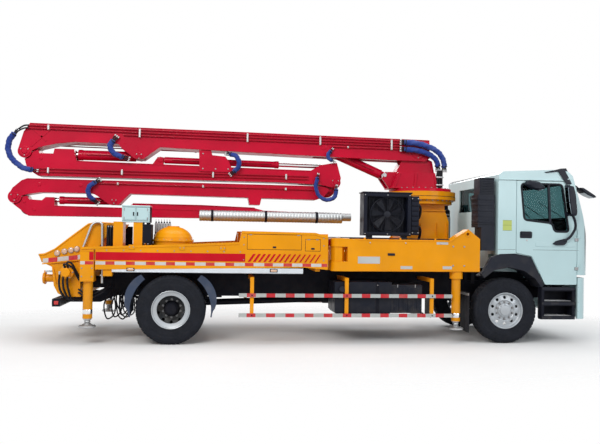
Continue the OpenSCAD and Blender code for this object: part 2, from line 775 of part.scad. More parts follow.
module wheel_front_right() { wheel_front(-1); }
module wheel_front_left() { wheel_front(1); }

module wheel_rear(s) {
    h = tyre_w / 2;
    step = (tyre_w + dual_gap) / 2;
    mirror([0, s > 0 ? 0 : 1, 0]) placed() {
        for (k = [-1, 1]) tyre(0, rear_y + k * step);
        color("silver") difference() {
            union() {
                for (k = [-1, 1]) {
                    revolve_y(0, rear_y + k * step, tyre_r, [[rim_r - 12, -h + 22], [rim_r, -h + 22], [rim_r, h - 22], [rim_r - 12, h - 22]]);
                    revolve_y(0, rear_y, tyre_r, k < 0 ? [[110, -14], [180, -14], [rim_r - 6, -60], [rim_r - 6, -46], [184, 0], [110, 0]]
                        : [[110, 0], [184, 0], [rim_r - 6, 46], [rim_r - 6, 60], [180, 14], [110, 14]]);
                }
                bar_y(0, tyre_r, 150, rear_y - 60, rear_y + 40);
                bar_y(0, tyre_r, 105, rear_y + 40, rear_y + 130);
            }
            bar_y(0, tyre_r, hub_r + run_gap, rear_y - 61, rear_y + 100);
            rim_holes(0, rear_y, 10, 222, 22);
        }
    }
}

module wheel_rear_right() { wheel_rear(-1); }
module wheel_rear_left() { wheel_rear(1); }

// Front outriggers: beams that swing out about an upright pin, with a jack leg at the end
front_leg = [4715, swing_pin[1]];
front_foot_z = [230, 370];

module swing_arm(s) {
    x = swing_pin[0];
    y = swing_pin[1];
    w = swing_w / 2;
    mirror([0, s > 0 ? 0 : 1, 0]) placed() {
        color(yellow) difference() {
            union() {
                slab([[x + 150, swing_z[0]], [front_leg[0] + 370, swing_z[0] + 10], [front_leg[0] + 370, 1750], [front_leg[0] + 165, 1910],
                    [front_leg[0] - 65, 1770], [front_leg[0] - 130, swing_z[1]], [x + 150, swing_z[1]]], y - w, y + w);
                for (z = [[swing_z[0], swing_z[0] + 160 - seat_gap], [swing_z[1] - 130 + seat_gap, swing_z[1] + 10]]) {
                    bar_z(x, y, w, z[0], z[1]);
                    block([x, y - w, z[0]], [x + 160, y + w, z[1]]);
                }
                bar_z(front_leg[0], y, leg_r + 34, 1080, swing_z[0] + 40);
            }
            bar_z(front_leg[0], y, leg_r + seat_gap, 1000, 1690);
            bar_y(front_leg[0] + 155, 1830, 26, y - w - 1, y + w + 1);
        }
        color("dimgray") bar_z(x, y, swing_pin_r, swing_z[0], swing_z[1] + 10);
    }
}

module swing_arm_right() { swing_arm(-1); }
module swing_arm_left() { swing_arm(1); }

// Jack leg with its foot plate: axis x, y, height of the foot, top of the tube
module jack_leg(x, y, foot, top) {
    color(yellow) bar_z(x, y, leg_r, foot[1] - 10, top);
    color("silver") {
        translate([x, y, foot[0] + 70]) cylinder(r1 = foot_r, r2 = leg_r + 12, h = foot[1] - foot[0] - 70);
        bar_z(x, y, foot_r, foot[0], foot[0] + 70);
    }
}

module front_leg_right() { placed() jack_leg(front_leg[0], -front_leg[1], front_foot_z, 1640); }
module front_leg_left() { placed() jack_leg(front_leg[0], front_leg[1], front_foot_z, 1640); }

// Rear outriggers: beams that slide out of the housing
rear_leg = [-1290, 1130];
rear_foot_z = [270, 420];

module rear_beam(s) {
    in = 20;
    mirror([0, s > 0 ? 0 : 1, 0]) placed() color(yellow) difference() {
        union() {
            block([housing_x[0] + in + move_gap, 180, housing_z[0] + in + seat_gap],
                [housing_x[1] - in - move_gap, rear_leg[1], housing_z[1] - in - move_gap]);
            block([housing_x[0] + 20, 980, 990], [housing_x[1] - 10, 1215, 1495]);
        }
        bar_z(rear_leg[0], rear_leg[1] - 30, leg_r + seat_gap, 900, 1480);
    }
}

module rear_beam_right() { rear_beam(-1); }
module rear_beam_left() { rear_beam(1); }
module rear_leg_right() { placed() jack_leg(rear_leg[0], -rear_leg[1] + 30, rear_foot_z, 1440); }
module rear_leg_left() { placed() jack_leg(rear_leg[0], rear_leg[1] - 30, rear_foot_z, 1440); }

// Boom

// Straight round bar between two points of space
module bar_3d(a, b, r) {
    d = b - a;
    translate(a) rotate([0, acos(d[2] / norm(d)), atan2(d[1], d[0])]) cylinder(r = r, h = norm(d));
}

// Quarter bend that starts at p heading along a and leaves along b
module bend(p, a, b, r, bend_r) {
    n = cross(-b, a);
    c = p + b * bend_r;
    multmatrix([[-b[0], a[0], n[0], c[0]], [-b[1], a[1], n[1], c[1]], [-b[2], a[2], n[2], c[2]], [0, 0, 0, 1]])
        rotate_extrude(angle = 90) translate([bend_r, 0]) circle(r = r);
}

// Pipe with square corners rounded by bends
module pipe_run(pts, r, bend_r) {
    last = len(pts) - 2;
    for (i = [0:last]) {
        u = (pts[i + 1] - pts[i]) / norm(pts[i + 1] - pts[i]);
        bar_3d(pts[i] + u * (i > 0 ? bend_r : 0), pts[i + 1] - u * (i < last ? bend_r : 0), r);
        if (i < last) {
            v = (pts[i + 2] - pts[i + 1]) / norm(pts[i + 2] - pts[i + 1]);
            bend(pts[i + 1] - u * bend_r, u, v, r, bend_r);
        }
    }
}

line_in = 270; // plane of the concrete line on sections one and three
line_out = 450; // plane of the line on sections two and four
line_mid = (line_in + line_out) / 2;
line_bend = 85;
joint_gap = 0.3;

module turret() {
    p = root_pin;
    placed() color(red) {
        difference() {
            union() {
                bar_z(tower_x, 0, 560, ring_z + seat_gap, ring_z + 60);
                slab([[3770, ring_z + 60], [4680, ring_z + 60], [4580, 3150], [4462, 3205], [p[0] + 135, p[1] + 80],
                    [p[0] - 120, p[1] + 80], [4010, 3150]],
                    -lug_y[0], lug_y[0]);
                bar_y(p[0], p[1], lug_r[0], -lug_y[0], lug_y[0]);
                slab([[3800, ring_z + 60], [4650, ring_z + 60], [4600, 2930], [3920, 2930]], -270, 270);
                both_sides() slab([[lift_cyl[0] + 80, ring_z + 60], [lift_cyl[0] + 220, ring_z + 60], [lift_cyl[0] + 230, lift_cyl[1] + 60],
                    [lift_cyl[0] + 10, lift_cyl[1] + 60], [lift_cyl[0] - 60, lift_cyl[1]], [lift_cyl[0] - 50, lift_cyl[1] - 60]],
                    100, 146);
            }
            bar_y(p[0], p[1], pin_r[0] + run_gap, -300, 300);
        }
        color("dimgray") bar_y(lift_cyl[0], lift_cyl[1], 38, -146, 146);
        pipe_run([[p[0], line_mid + joint_gap, p[1]], [p[0], line_out, p[1]], [p[0], line_out, 2760], [p[0], 268, 2760]], line_r, line_bend);
    }
}

// Plates that hold the line to the side of a section: at x from y0 to y1, height z
module line_clamp(x, z, y0, y1) {
    block([x - 20, y0, z - 20], [x + 20, y1, z + 20]);
    bar_x(x - 30, x + 30, y1, z, line_r + 10);
}

arm_1_out = [[-2570, 3040], [-2310, 3180], [-2040, 3250], [-1710, 3290], [-1000, 3278], [-940, 3200],
    [-720, 3035], [-580, 3035], [-300, 3245], [370, 3225], [3600, 3150], [4420, 3140], [4520, 3200], [4510, 3530],
    [-2460, 3590], [-2560, 3440], [-2650, 3130]];

module arm_1() {
    w = arm_1_w / 2;
    placed() {
        color(red) difference() {
            union() {
                slab(arm_1_out, -w, w);
                bar_y(pin_a[0], pin_a[1], cheek_r[1], -w, w);
            }
            // Fork at the elbow, belly open for the lift cylinder, fork at the root
            bar_y(pin_a[0], pin_a[1], cheek_r[1] + 20, -lug_y[1] - fork_gap, lug_y[1] + fork_gap);
            block([2400, -100, 3000], [3961, 100, 3480]);
            block([3960, -lug_y[0] - fork_gap, 3000], [4600, lug_y[0] + fork_gap, 3475]);
            block([4380, -lug_y[0] - fork_gap, 3000], [4600, lug_y[0] + fork_gap, 3700]);
            // Pocket for the eye of the elbow cylinder
            block([-1010, -eye_half - 6, 3000], [-540, eye_half + 6, 3220]);
            block([-1010, -a_cyl[4] - 8, 3000], [-708, a_cyl[4] + 8, 3220]);
        }
        color("dimgray") {
            bar_y(root_pin[0], root_pin[1], pin_r[0], -w, w);
            bar_y(pin_a[0], pin_a[1], pin_r[1], -w, w);
            bar_y(a_cyl[0], a_cyl[1], eye_pin_r, -eye_half - 35, eye_half + 35);
        }
        color(red) {
            pipe_run([[root_pin[0], line_mid, root_pin[1]], [root_pin[0], line_in, root_pin[1]], [root_pin[0], line_in, 3480],
                [pin_a[0], line_in, 3480], [pin_a[0], line_in, pin_a[1]], [pin_a[0], line_mid - joint_gap, pin_a[1]]], line_r, line_bend);
            for (x = [-2100, -400, 1300, 3000]) line_clamp(x, 3480, w, line_in);
        }
    }
}

arm_2_out = [[-2500, 2820], [-2320, 2700], [1740, 2695], [2520, 2672], [2720, 2630], [2860, 2640], [2890, 2800], [2815, 3070],
    [2760, 3070], [2510, 3020], [2340, 2918], [1740, 2925], [-1700, 2972], [-1740, 3170], [-2060, 3170], [-2080, 3085], [-2310, 3085],
    [-2325, 3145], [-2425, 3100], [-2545, 2985]];

module arm_2() {
    w = arm_2_w / 2;
    placed() {
        color(red) difference() {
            union() {
                difference() {
                    slab(arm_2_out, -w, w);
                    bar_y(pin_a[0], pin_a[1], cheek_r[1] + fork_gap, -w - 1, w + 1);
                }
                slab(arm_2_out, -lug_y[1], lug_y[1]);
                bar_y(pin_a[0], pin_a[1], lug_r[1], -lug_y[1], lug_y[1]);
                bar_y(pin_c[0], pin_c[1], cheek_r[2], -w, w);
                slab([[c_cyl[0] - 140, 2950], [c_cyl[0] + 58, 2950], [c_cyl[0] + 45, c_cyl[1] + 45], [c_cyl[0] - 45, c_cyl[1] + 45]],
                    -eye_half - 35, eye_half + 35);
            }
            bar_y(pin_a[0], pin_a[1], pin_r[1] + run_gap, -w, w);
            block([2150, -lug_y[2] - fork_gap, 2600], [3000, lug_y[2] + fork_gap, 3100]);
            block([c_cyl[0] - 60, -eye_half - 6, c_cyl[1] - 60], [c_cyl[0] + 200, eye_half + 6, 3200]);
            // Mouth for the eye of the elbow cylinder
            block([-2020, -eye_half - 26, 2985], [-1700, eye_half + 26, 3200]);
        }
        color("dimgray") {
            bar_y(pin_c[0], pin_c[1], pin_r[2], -w, w);
            bar_y(c_cyl[0], c_cyl[1], eye_pin_r, -eye_half - 35, eye_half + 35);
        }
        color(red) {
            pipe_run([[pin_a[0], line_mid, pin_a[1]], [pin_a[0], line_out, pin_a[1]], [pin_a[0], line_out, 2900], [pin_c[0], line_out, 2900],
                [pin_c[0], line_out, pin_c[1]], [pin_c[0], line_mid, pin_c[1]]], line_r, line_bend);
            for (x = [-2050, -500, 900, 2150]) line_clamp(x, 2900, w, line_out);
        }
    }
}

arm_3_out = [[-2760, 2300], [-2500, 2385], [-2300, 2420], [-1420, 2425], [-1340, 2380], [-1140, 2238], [-980, 2238], [-800, 2430],
    [1240, 2412], [1265, 2290], [1450, 2290], [1475, 2408], [2450, 2400], [2580, 2450], [2690, 2580], [2650, 2620], [2540, 2645],
    [-2500, 2655], [-2590, 2620], [-2735, 2490], [-2806, 2350]];

module arm_3() {
    w = arm_3_w / 2;
    placed() {
        color(red) difference() {
            union() {
                difference() {
                    union() {
                        slab(arm_3_out, -w, w);
                        bar_y(pin_b[0], pin_b[1], cheek_r[3], -w, w);
                    }
                    bar_y(pin_c[0], pin_c[1], cheek_r[2] + fork_gap, -w - 1, w + 1);
                }
                slab([[2450, 2400], [2580, 2450], [2860, 2660], [2760, 2780], [2560, 2650]], -lug_y[2], lug_y[2]);
                bar_y(pin_c[0], pin_c[1], lug_r[2], -lug_y[2], lug_y[2]);
                slab([[pin_c[0] - 75, pin_c[1]], [pin_c[0] + 75, pin_c[1]], [c_cyl[2] + 50, c_cyl[3] + 30], [c_cyl[2] - 50, c_cyl[3] + 30]],
                    -lug_y[2], lug_y[2]);
            }
            bar_y(pin_c[0], pin_c[1], pin_r[2] + run_gap, -w, w);
            bar_y(pin_b[0], pin_b[1], cheek_r[3] + 18, -lug_y[3] - fork_gap, lug_y[3] + fork_gap);
            block([pin_c[0] - 400, -eye_half - 6, pin_c[1] + 100], [pin_c[0] + 100, eye_half + 6, pin_c[1] + 400]);
            block([-1400, -eye_half - 6, 2200], [-960, eye_half + 6, 2385]);
            block([-1420, -b_cyl[4] - 6, 2200], [-1120, b_cyl[4] + 6, 2385]);
        }
        color("dimgray") {
            bar_y(pin_b[0], pin_b[1], pin_r[3], -w, w);
            bar_y(b_cyl[0], b_cyl[1], eye_pin_r, -eye_half - 20, eye_half + 20);
        }
        color(red) {
            pipe_run([[pin_c[0], line_mid - joint_gap, pin_c[1]], [pin_c[0], line_in, pin_c[1]], [pin_c[0], line_in, 2535], [pin_b[0], line_in, 2535],
                [pin_b[0], line_in, pin_b[1]], [pin_b[0], line_mid - joint_gap, pin_b[1]]], line_r, line_bend);
            for (x = [-2300, -700, 900, 2200]) line_clamp(x, 2535, w, line_in);
        }
    }
}

arm_4_tip = 3050;
arm_4_out = [[-2470, 2020], [arm_4_tip, 2050], [arm_4_tip, 2150], [-2050, 2200], [-2060, 2345], [-2200, 2345], [-2260, 2290], [-2470, 2300],
    [-2500, 2360], [-2600, 2340], [-2740, 2225]];
line_4_z = 2110;

module arm_4() {
    w = arm_4_w / 2;
    placed() {
        color(red) difference() {
            union() {
                difference() {
                    slab(arm_4_out, -w, w);
                    bar_y(pin_b[0], pin_b[1], cheek_r[3] + fork_gap, -w - 1, w + 1);
                }
                slab(arm_4_out, -lug_y[3], lug_y[3]);
                bar_y(pin_b[0], pin_b[1], lug_r[3], -lug_y[3], lug_y[3]);
            }
            bar_y(pin_b[0], pin_b[1], pin_r[3] + run_gap, -w, w);
            block([-2185, -eye_half - 6, 2225], [-2000, eye_half + 6, 2400]);
        }
        color(red) {
            pipe_run([[pin_b[0], line_mid, pin_b[1]], [pin_b[0], line_out, pin_b[1]], [pin_b[0], line_out, line_4_z], [arm_4_tip - 100, line_out, line_4_z]],
                line_r, line_bend);
            bar_x(arm_4_tip - 140, arm_4_tip - 100, line_out, line_4_z, line_r + 20);
            for (x = [-2300, -700, 1100, 2700]) line_clamp(x, line_4_z, w, line_out);
        }
        // End hose strapped to the right side
        color("gainsboro") bar_x(600, arm_4_tip + 20, -w - 78, 2100, 70);
        color(red) for (x = [800, 1700, 2600]) block([x, -w - 12, 2060], [x + 50, -w, 2140]);
    }
}

// Cylinders: c is one of the rows above; the barrel starts at its base eye and the rod ends in its own eye
module barrel(c, eye) {
    a = [c[0], c[1]];
    b = [c[2], c[3]];
    u = (b - a) / norm(b - a);
    placed() color(red) difference() {
        union() {
            bar_xz(a + u * c[6], a + u * c[7], 0, c[4]);
            bar_y(a[0], a[1], eye, -eye_half, eye_half);
            slab([for (k = [[0, -eye + 4], [90, -eye + 4], [90, eye - 4], [0, eye - 4]]) a + u * k[0] + [-u[1], u[0]] * k[1]],
                -eye_half, eye_half);
        }
        bar_y(a[0], a[1], (c == lift_cyl ? 38 : eye_pin_r) + run_gap, -100, 100);
        bar_xz(a + u * c[9], a + u * (c[7] + 1), 0, c[5] + seat_gap);
    }
}

module rod(c, eye) {
    a = [c[0], c[1]];
    b = [c[2], c[3]];
    u = (b - a) / norm(b - a);
    n = norm(b - a);
    placed() {
        color("gainsboro") bar_xz(a + u * c[8], a + u * (n - eye + 8), 0, c[5]);
        color(red) bar_y(b[0], b[1], eye, -eye_half, eye_half);
    }
}

module lift_barrel() { barrel(lift_cyl, 70); }
module lift_rod() { rod(lift_cyl, 75); }
module a_barrel() { barrel(a_cyl, 52); }
module a_rod() { rod(a_cyl, 56); }
module c_barrel() { barrel(c_cyl, 48); }
module c_rod() { rod(c_cyl, 48); }
module b_barrel() { barrel(b_cyl, 46); }
module b_rod() { rod(b_cyl, 46); }

// Hoses that the boom carries: at the root, round the rear elbow and round the front elbow
hose_y = 252;
hose_r = 28;
loop_a = [-2492, 3120, 380];
loop_c = [2640, 2500, 130];

module root_hoses() {
    placed() color("steelblue") {
        for (k = [0, 1]) pipe_run([[4120, -hose_y, 3450 - 80 * k], [4810 - 80 * k, -hose_y, 3450 - 80 * k], [4810 - 80 * k, -hose_y, ring_z + 60]],
            hose_r + 6, 200 - 40 * k);
    }
}

module half_ring(c, a0, y) {
    translate([c[0], y, c[1]]) rotate([90, 0, 0]) rotate([0, 0, a0]) rotate_extrude(angle = 180) translate([c[2], 0]) circle(r = hose_r);
}

module hose_loop_a() {
    placed() color("steelblue") {
        half_ring(loop_a, 90, -hose_y);
        for (z = [-loop_a[2], loop_a[2]]) bar_x(loop_a[0], loop_a[0] + 150, -hose_y, loop_a[1] + z, hose_r);
        block([loop_a[0] + 100, -hose_y, 3480], [loop_a[0] + 130, -arm_1_w / 2, 3520]);
    }
}

module hose_loop_c() {
    placed() color("steelblue") {
        half_ring(loop_c, 180, -hose_y + 20);
        for (s = [-1, 1]) bar_z(loop_c[0] + s * loop_c[2], -hose_y + 20, hose_r, loop_c[1], loop_c[1] + 200);
        block([loop_c[0] + loop_c[2] - 15, -hose_y + 20, 2690], [loop_c[0] + loop_c[2] + 15, -arm_2_w / 2, 2699]);
    }
}

frame_rails();
front_axle();
rear_axle();
engine_block();
front_bumper();
mudguards();
tanks();
guard_rails();
deck();
beam_housing();
hopper();
hopper_grate();
agitator();
pump_unit();
outlet_pipe();
deck_line();
controls();
filter_housing();
oil_cooler();
pedestal();
intake_tower();
cab_shell();
cab_glass();
cab_interior();
cab_trim();
door_right();
door_left();
door_glass_right();
door_glass_left();
knuckle_right();
knuckle_left();
wheel_front_right();
wheel_front_left();
wheel_rear_right();
wheel_rear_left();
swing_arm_right();
swing_arm_left();
front_leg_right();
front_leg_left();
rear_beam_right();
rear_beam_left();
rear_leg_right();
rear_leg_left();
turret();
lift_barrel();
lift_rod();
arm_1();
arm_2();
arm_3();
arm_4();
a_barrel();
a_rod();
c_barrel();
c_rod();
b_barrel();
b_rod();
root_hoses();
hose_loop_a();
hose_loop_c();
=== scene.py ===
import math
from itertools import product

import bmesh
import bpy
from mathutils import Matrix, Vector
from mathutils.geometry import tessellate_polygon


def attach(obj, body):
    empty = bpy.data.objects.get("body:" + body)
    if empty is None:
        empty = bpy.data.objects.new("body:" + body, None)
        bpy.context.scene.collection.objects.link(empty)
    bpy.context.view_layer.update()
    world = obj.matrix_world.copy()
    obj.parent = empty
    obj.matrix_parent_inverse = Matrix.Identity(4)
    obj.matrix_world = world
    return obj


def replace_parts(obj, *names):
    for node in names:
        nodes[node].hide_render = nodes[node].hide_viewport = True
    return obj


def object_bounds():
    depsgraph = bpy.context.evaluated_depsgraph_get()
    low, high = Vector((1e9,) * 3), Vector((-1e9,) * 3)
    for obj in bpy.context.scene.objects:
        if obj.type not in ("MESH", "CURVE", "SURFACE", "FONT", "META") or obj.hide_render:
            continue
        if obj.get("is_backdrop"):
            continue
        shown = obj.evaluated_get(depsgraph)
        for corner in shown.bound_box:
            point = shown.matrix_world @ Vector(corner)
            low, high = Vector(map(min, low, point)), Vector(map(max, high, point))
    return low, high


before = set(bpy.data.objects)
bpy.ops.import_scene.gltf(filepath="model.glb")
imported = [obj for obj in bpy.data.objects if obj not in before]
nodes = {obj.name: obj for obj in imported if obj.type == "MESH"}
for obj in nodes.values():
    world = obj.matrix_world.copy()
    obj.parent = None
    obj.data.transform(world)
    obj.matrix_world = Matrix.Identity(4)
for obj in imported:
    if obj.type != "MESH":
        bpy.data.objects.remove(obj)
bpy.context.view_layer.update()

# Positions are counted from the rear axle, in metres: MID is the middle of the vehicle, FRONT its
# front axle and SIDE the outer face of its body
MID = 2.165
FRONT = 5.565
SIDE = 1.22
TYRE_R = 0.55
AHEAD, RIGHT, UP = (1, 0, 0), (0, -1, 0), (0, 0, 1)


def at(x, y, z):
    return Vector((x - MID, y, z))


# Shader helpers

def new_material(name):
    m = bpy.data.materials.new(name)
    m.use_nodes = True
    t = m.node_tree
    shader = t.nodes["Principled BSDF"]
    return m, t, shader


def link(t, a, b):
    t.links.new(a, b)


def place(t):
    """Place of the shaded point, as the piece was built."""
    return t.nodes.new("ShaderNodeTexCoord").outputs["Object"]


def noise(t, scale, detail=3.0, rough=0.5, stretch=None):
    n = t.nodes.new("ShaderNodeTexNoise")
    n.inputs["Scale"].default_value = scale
    n.inputs["Detail"].default_value = detail
    n.inputs["Roughness"].default_value = rough
    if stretch is None:
        link(t, place(t), n.inputs["Vector"])
    else:
        mapping = t.nodes.new("ShaderNodeMapping")
        mapping.inputs["Scale"].default_value = stretch
        link(t, place(t), mapping.inputs["Vector"])
        link(t, mapping.outputs["Vector"], n.inputs["Vector"])
    return n.outputs["Fac"]


def remap(t, value, a, b, c=0.0, d=1.0):
    r = t.nodes.new("ShaderNodeMapRange")
    r.inputs["From Min"].default_value = a
    r.inputs["From Max"].default_value = b
    r.inputs["To Min"].default_value = c
    r.inputs["To Max"].default_value = d
    link(t, value, r.inputs["Value"])
    return r.outputs["Result"]


def math_node(t, op, a, b):
    m = t.nodes.new("ShaderNodeMath")
    m.operation = op
    for socket, v in zip(m.inputs, (a, b)):
        if isinstance(v, (int, float)):
            socket.default_value = v
        else:
            link(t, v, socket)
    return m.outputs["Value"]


def mix_colour(t, fac, a, b):
    m = t.nodes.new("ShaderNodeMix")
    m.data_type = "RGBA"
    if isinstance(fac, (int, float)):
        m.inputs["Factor"].default_value = fac
    else:
        link(t, fac, m.inputs["Factor"])
    for name, v in (("A", a), ("B", b)):
        socket = [s for s in m.inputs if s.name == name and s.type == "RGBA"][0]
        if isinstance(v, (tuple, list)):
            socket.default_value = (*v[:3], 1.0)
        else:
            link(t, v, socket)
    return [s for s in m.outputs if s.type == "RGBA"][0]


def axis_value(t, axis):
    """Place of the shaded point along one axis of the piece."""
    split = t.nodes.new("ShaderNodeSeparateXYZ")
    link(t, place(t), split.inputs["Vector"])
    return split.outputs[axis]


def mottle(t, shader, scale, detail, low, high):
    """Roughness that wanders between two values."""
    link(t, remap(t, noise(t, scale, detail), 0.3, 0.7, low, min(1.0, high)), shader.inputs["Roughness"])


def shades(colour, shift):
    """The colour a little darker and a little lighter."""
    return tuple(c * (1 - shift) for c in colour), tuple(min(1.0, c * (1 + shift)) for c in colour)


def edge_mask(t, radius):
    """How far a rounded corner turns away from the flat face: high along edges only."""
    soft = t.nodes.new("ShaderNodeBevel")
    soft.samples = 4
    soft.inputs["Radius"].default_value = radius
    flat = t.nodes.new("ShaderNodeNewGeometry")
    dot = t.nodes.new("ShaderNodeVectorMath")
    dot.operation = "DOT_PRODUCT"
    link(t, soft.outputs["Normal"], dot.inputs[0])
    link(t, flat.outputs["Normal"], dot.inputs[1])
    return remap(t, dot.outputs["Value"], 0.98, 0.80, 0.0, 1.0), soft.outputs["Normal"]


def bump(t, value, strength, distance, normal=None):
    b = t.nodes.new("ShaderNodeBump")
    b.inputs["Strength"].default_value = strength
    b.inputs["Distance"].default_value = distance
    link(t, value, b.inputs["Height"])
    if normal is not None:
        link(t, normal, b.inputs["Normal"])
    return b.outputs["Normal"]


DUST = (0.34, 0.29, 0.23)


def paint(name, colour, rough, coat, worn, dust, shift=0.06, edge=0.006, metal=0.0, spec=0.3):
    """Sprayed steel: slight patches of colour, dust low down and a little wear along the edges."""
    m, t, s = new_material(name)
    patch = remap(t, noise(t, 1.7, 4.0), 0.35, 0.65)
    base = mix_colour(t, patch, *shades(colour, shift))
    mask, soft = edge_mask(t, edge)
    broken = math_node(t, "MULTIPLY", mask, remap(t, noise(t, 23.0, 5.0), 0.48, 0.68, 0.0, 0.55))
    base = mix_colour(t, broken, base, worn)
    low_down = remap(t, axis_value(t, "Z"), 0.25, 1.5, 1.0, 0.12)
    dirt = math_node(t, "MULTIPLY", low_down, remap(t, noise(t, 5.0, 6.0, 0.6), 0.42, 0.72, 0.0, dust))
    base = mix_colour(t, dirt, base, DUST)
    link(t, base, s.inputs["Base Color"])
    mottle(t, s, 9.0, 4.0, rough * 0.8, rough * 1.25)
    link(t, bump(t, noise(t, 260.0, 2.0), 0.05, 0.0008, soft), s.inputs["Normal"])
    s.inputs["Coat Weight"].default_value = coat
    s.inputs["Coat Roughness"].default_value = 0.12
    s.inputs["Metallic"].default_value = metal
    s.inputs["Specular IOR Level"].default_value = spec
    return m


def plastic(name, colour, rough=0.55, grain=420.0, depth=0.25, shift=0.15):
    """Moulded plastic with a fine grain and faded patches."""
    m, t, s = new_material(name)
    patch = remap(t, noise(t, 3.1, 5.0), 0.3, 0.7)
    base = mix_colour(t, patch, *shades(colour, shift))
    dirt = math_node(t, "MULTIPLY", remap(t, axis_value(t, "Z"), 0.3, 1.6, 1.0, 0.15),
                     remap(t, noise(t, 7.0, 6.0), 0.45, 0.75, 0.0, 0.4))
    link(t, mix_colour(t, math_node(t, "MULTIPLY", dirt, 0.35), base, DUST), s.inputs["Base Color"])
    mottle(t, s, 14.0, 4.0, rough * 0.85, rough * 1.2)
    link(t, bump(t, noise(t, grain, 2.0), depth, 0.0006), s.inputs["Normal"])
    s.inputs["Specular IOR Level"].default_value = 0.22
    return m


def metal(name, colour, rough=0.35, brushed=None, shift=0.08, grime=0.3):
    """Bare metal with drawn streaks or mottling and some grime."""
    m, t, s = new_material(name)
    streak = noise(t, 40.0, 4.0, 0.6, brushed or (1.0, 1.0, 1.0))
    base = mix_colour(t, streak, *shades(colour, shift))
    dirt = math_node(t, "MULTIPLY", remap(t, axis_value(t, "Z"), 0.2, 2.0, 1.0, 0.2),
                     remap(t, noise(t, 6.0, 6.0), 0.45, 0.75, 0.0, grime))
    link(t, mix_colour(t, dirt, base, (0.2, 0.17, 0.14)), s.inputs["Base Color"])
    link(t, remap(t, streak, 0.3, 0.7, rough * 0.8, min(1.0, rough * 1.3)), s.inputs["Roughness"])
    link(t, bump(t, streak, 0.15, 0.0006), s.inputs["Normal"])
    s.inputs["Metallic"].default_value = 1.0
    return m


def rubber(name, colour=(0.0055, 0.0065, 0.010), rough=0.7, dust=0.10):
    m, t, s = new_material(name)
    base = mix_colour(t, remap(t, noise(t, 6.0, 5.0), 0.3, 0.7), colour, tuple(c * 1.8 for c in colour))
    mask, soft = edge_mask(t, 0.004)
    base = mix_colour(t, math_node(t, "MULTIPLY", mask, 0.10), base, (0.05, 0.05, 0.055))
    dirt = remap(t, noise(t, 11.0, 7.0, 0.65), 0.5, 0.8, 0.0, dust)
    link(t, mix_colour(t, dirt, base, (0.075, 0.07, 0.065)), s.inputs["Base Color"])
    mottle(t, s, 30.0, 3.0, rough * 0.85, rough * 1.15)
    link(t, bump(t, noise(t, 180.0, 3.0), 0.3, 0.0008, soft), s.inputs["Normal"])
    s.inputs["Specular IOR Level"].default_value = 0.18
    return m


def banded(name, axis, period, share, offset, colour_a, colour_b, rough=0.35):
    """Bands of two colours along one axis, such as marking tape or guard rails."""
    m, t, s = new_material(name)
    along = math_node(t, "DIVIDE", math_node(t, "ADD", axis_value(t, axis), offset), period)
    part = math_node(t, "FRACT", along, 0.0)
    band = math_node(t, "LESS_THAN", part, share)
    grime = remap(t, noise(t, 8.0, 6.0), 0.45, 0.75, 0.0, 0.3)
    base = mix_colour(t, band, colour_b, colour_a)
    link(t, mix_colour(t, grime, base, (0.30, 0.26, 0.22)), s.inputs["Base Color"])
    mottle(t, s, 12.0, 3.0, rough * 0.8, rough * 1.3)
    link(t, bump(t, noise(t, 300.0, 2.0), 0.08, 0.0005), s.inputs["Normal"])
    return m


def glass_material(name, tint, smooth=0.02):
    m, t, s = new_material(name)
    smear = remap(t, noise(t, 4.0, 5.0), 0.4, 0.8, smooth, smooth + 0.06)
    link(t, smear, s.inputs["Roughness"])
    link(t, mix_colour(t, remap(t, noise(t, 2.0, 3.0), 0.3, 0.7), tint,
                       tuple(min(1, c * 1.06) for c in tint)), s.inputs["Base Color"])
    s.inputs["Transmission Weight"].default_value = 1.0
    s.inputs["IOR"].default_value = 1.1
    return m


def woven(name, colour, scale=260.0):
    """Woven hose sleeve: two crossing sets of fine ribs."""
    m, t, s = new_material(name)
    ribs = []
    for direction in ("DIAGONAL", "Z"):
        w = t.nodes.new("ShaderNodeTexWave")
        w.wave_type = "BANDS"
        w.bands_direction = direction
        w.inputs["Scale"].default_value = scale / 6
        w.inputs["Distortion"].default_value = 1.2
        link(t, place(t), w.inputs["Vector"])
        ribs.append(w.outputs["Fac"])
    weave = math_node(t, "MULTIPLY", ribs[0], ribs[1])
    base = mix_colour(t, weave, tuple(c * 0.55 for c in colour), colour)
    fade = remap(t, noise(t, 5.0, 5.0), 0.45, 0.75, 0.0, 0.18)
    link(t, mix_colour(t, fade, base, (0.16, 0.22, 0.42)), s.inputs["Base Color"])
    s.inputs["Roughness"].default_value = 0.72
    s.inputs["Sheen Weight"].default_value = 0.15
    s.inputs["Specular IOR Level"].default_value = 0.25
    link(t, bump(t, weave, 0.5, 0.002), s.inputs["Normal"])
    return m


def lamp_material(name, colour):
    """Ribbed lamp lens."""
    m, t, s = new_material(name)
    w = t.nodes.new("ShaderNodeTexWave")
    w.inputs["Scale"].default_value = 40.0
    link(t, place(t), w.inputs["Vector"])
    link(t, mix_colour(t, w.outputs["Fac"], tuple(c * 0.7 for c in colour), colour), s.inputs["Base Color"])
    link(t, bump(t, w.outputs["Fac"], 0.3, 0.001), s.inputs["Normal"])
    s.inputs["Roughness"].default_value = 0.15
    s.inputs["Coat Weight"].default_value = 0.6
    return m


CRIMSON = (0.52, 0.002, 0.028)
AMBER = (0.82, 0.315, 0.002)
WHITE = (0.50, 0.68, 0.70)

